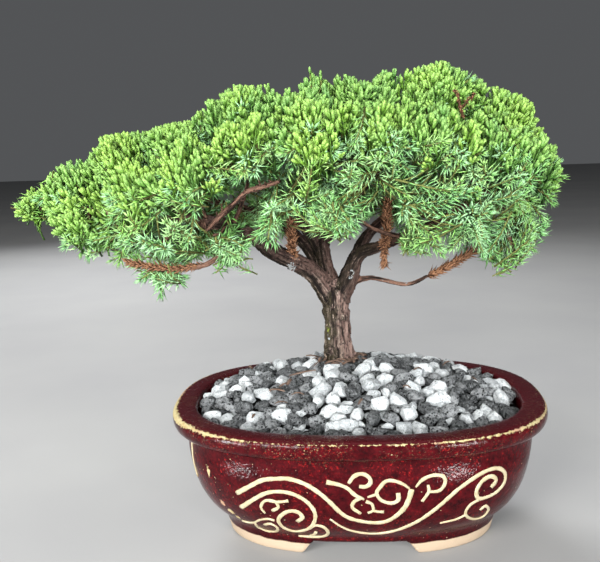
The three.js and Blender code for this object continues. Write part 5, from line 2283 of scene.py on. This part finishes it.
DEAD_SPRIGS = (
    DeadSprig("dead_tuft_hanging", (
        (16.5, 5.5, 153.5, 2.4), (16.8, -1, 157, 2.2), (18, -5, 167, 1.8), (18, -7, 178, 1.1),
    ), 5.4, 0.11, "dead_sprig_hanging", 0.9),
    DeadSprig("dead_tip_hanging", (
        (16.8, 4, 154, 2.2), (16.4, -1, 150, 2.4), (16.2, -2.6, 146.2, 1.9),
        (16.2, -3, 143.8, 1.2),
    ), 4.4, 0.14, "", 0.9),
    DeadSprig("dead_tuft_left", (
        (-33, 11, 145, 1.5), (-34, 4, 153, 1.6), (-33.5, 0, 160, 1.4), (-33, -2, 168, 1),
    ), 5.8, 0.13, "dead_sprig_left", 0.9),
    DeadSprig("dead_tuft_right", (
        (40.2, 7.1, 135.4, 1.3), (49, 5, 139.8, 1.4), (57.5, 4, 145, 1.3), (67, 3, 151, 1),
    ), 6.0, 0.12, "dead_sprig_right", 1.1),
    DeadSprig("dead_needles_low_left", (
        (-80, -13, 147.6, 1.3), (-93, -14, 146, 1.3), (-102, -14, 146.4, 1.2),
        (-112, -14, 148, 1.0), (-121, -14, 150, 0.8),
    ), 4.8, 0.19, "", 0.9),
    DeadSprig("dead_fork_left", (
        (50.4, -23, 233.4, 0.5), (52.8, -24, 230.6, 0.7), (53.6, -24, 226, 0.9),
        (55.5, -22, 220, 1.1),
    ), 2.6, 0.7),
    DeadSprig("dead_fork_right", (
        (61.0, -23, 231.6, 0.5), (59.4, -24, 229.6, 0.6), (56.4, -24, 226.6, 0.8),
        (54.2, -23, 224.6, 0.8),
    ), 2.6, 0.7),
)


# ---- the studio


@dataclass(frozen=True)
class Lamp:
    """A square soft light. One that isn't mirrored is narrow and stays out of reflections."""

    name: str
    place: Place
    size: float
    power: float
    colour: Colour = (1.0, 1.0, 1.0)
    mirrored: bool = True

    def hang(self, target: Vector) -> None:
        """Hangs the light so that it faces a target."""
        data = bpy.data.lights.new(self.name, "AREA")
        data.shape, data.size = "SQUARE", self.size
        data.energy, data.color = self.power, self.colour
        if not self.mirrored:
            data.spread = math.pi / 2
        light = stand(self.name, data)
        light.location = self.place
        light.rotation_mode = "QUATERNION"
        light.rotation_quaternion = (target - Vector(self.place)).to_track_quat("-Z", "Y")
        light.visible_glossy = self.mirrored


@dataclass
class Studio:
    """Camera, soft lights and a plain pale floor."""

    eye: Vector = field(default_factory=lambda: Vector((0.103, -431.944, 208.561)))
    pan: float = -0.06922
    tilt: float = 0.1671
    roll: float = -0.03311
    lens: float = 48.0
    floor_size: float = 12.0
    aim_height: float = 0.12
    sky: Colour = (0.62, 0.64, 0.67)
    sky_strength: float = 0.14
    lamps: tuple[Lamp, ...] = (
        Lamp("key", (-0.65, -1.40, 0.72), 0.5, 34.0, (1.0, 0.985, 0.96)),
        Lamp("front", (0.25, -2.30, 0.62), 1.0, 36.0, (0.98, 0.99, 1.0), False),
        Lamp("window_left", (-1.03, -0.76, 0.20), 0.24, 22.0),
        Lamp("window_right", (0.82, -0.98, 0.18), 0.20, 16.0),
        Lamp("top", (0.1, 0.15, 1.5), 0.9, 6.0),
        Lamp("rear", (-0.7, 1.5, 0.85), 0.9, 19.0, (0.97, 0.98, 1.0), False),
    )

    def camera(self) -> None:
        """Stands the camera where the photograph was taken from."""
        ahead = Vector((
            math.sin(self.pan) * math.cos(self.tilt),
            math.cos(self.pan) * math.cos(self.tilt),
            -math.sin(self.tilt),
        ))
        level = Vector((math.cos(self.pan), -math.sin(self.pan), 0))
        above = level.cross(ahead)
        right = level * math.cos(self.roll) + above * math.sin(self.roll)
        upward = above * math.cos(self.roll) - level * math.sin(self.roll)
        data = bpy.data.cameras.new("camera")
        data.lens, data.sensor_width, data.sensor_fit = self.lens, 36.0, "AUTO"
        data.clip_start, data.clip_end = 0.01, 30.0
        camera = stand("camera", data)
        matrix = Matrix((right, upward, -ahead)).transposed().to_4x4()
        matrix.translation = PLACE @ self.eye
        camera.matrix_world = matrix
        bpy.context.scene.camera = camera

    def build(self) -> None:
        """Builds the studio."""
        self.camera()
        for lamp in self.lamps:
            lamp.hang(POT_MIDDLE + UP * self.aim_height)
        world = bpy.data.worlds.new("studio")
        world.use_nodes = True
        background = world.node_tree.nodes["Background"].inputs
        background["Color"].default_value = (*self.sky, 1.0)
        background["Strength"].default_value = self.sky_strength
        bpy.context.scene.world = world
        bpy.context.scene.view_settings.view_transform = "Standard"
        bm = new_mesh(False)
        bmesh.ops.create_grid(bm, x_segments=8, y_segments=8, size=self.floor_size / 2)
        floor = stand("floor", to_mesh(bm, "floor", recalc=False))
        floor.data.materials.append(PalePlaster().make())
        floor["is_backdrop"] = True


# ---- the whole


def main() -> None:
    """Builds every piece in order."""
    logging.basicConfig(level=logging.INFO, format="%(relativeCreated)d ms %(message)s")
    noise.seed_set(NOISE_SEED)
    studio = Studio()
    studio.build()
    pot = OvalPot()
    pot.build(Glaze().make(pot.flakes()))
    Scrollwork(pot).build(CreamSlip().make())
    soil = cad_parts["soil"].data.materials
    soil.clear()
    soil.append(POTTING_SOIL.make())
    Gravel(pot).build()
    Wood(SPRAYS).build(Bark().make())
    sprigs, dead = Sprigs(), DEAD_NEEDLES.make()
    Foliage(sprigs, studio.eye).build()
    for k, sprig in enumerate(DEAD_SPRIGS):
        sprig.build(sprigs, dead, random.Random(300 + k))
    total = sum(triangles(piece.data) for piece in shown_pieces())
    LOG.info("all pieces: %d triangles", total)


if __name__ == "__main__":
    main()
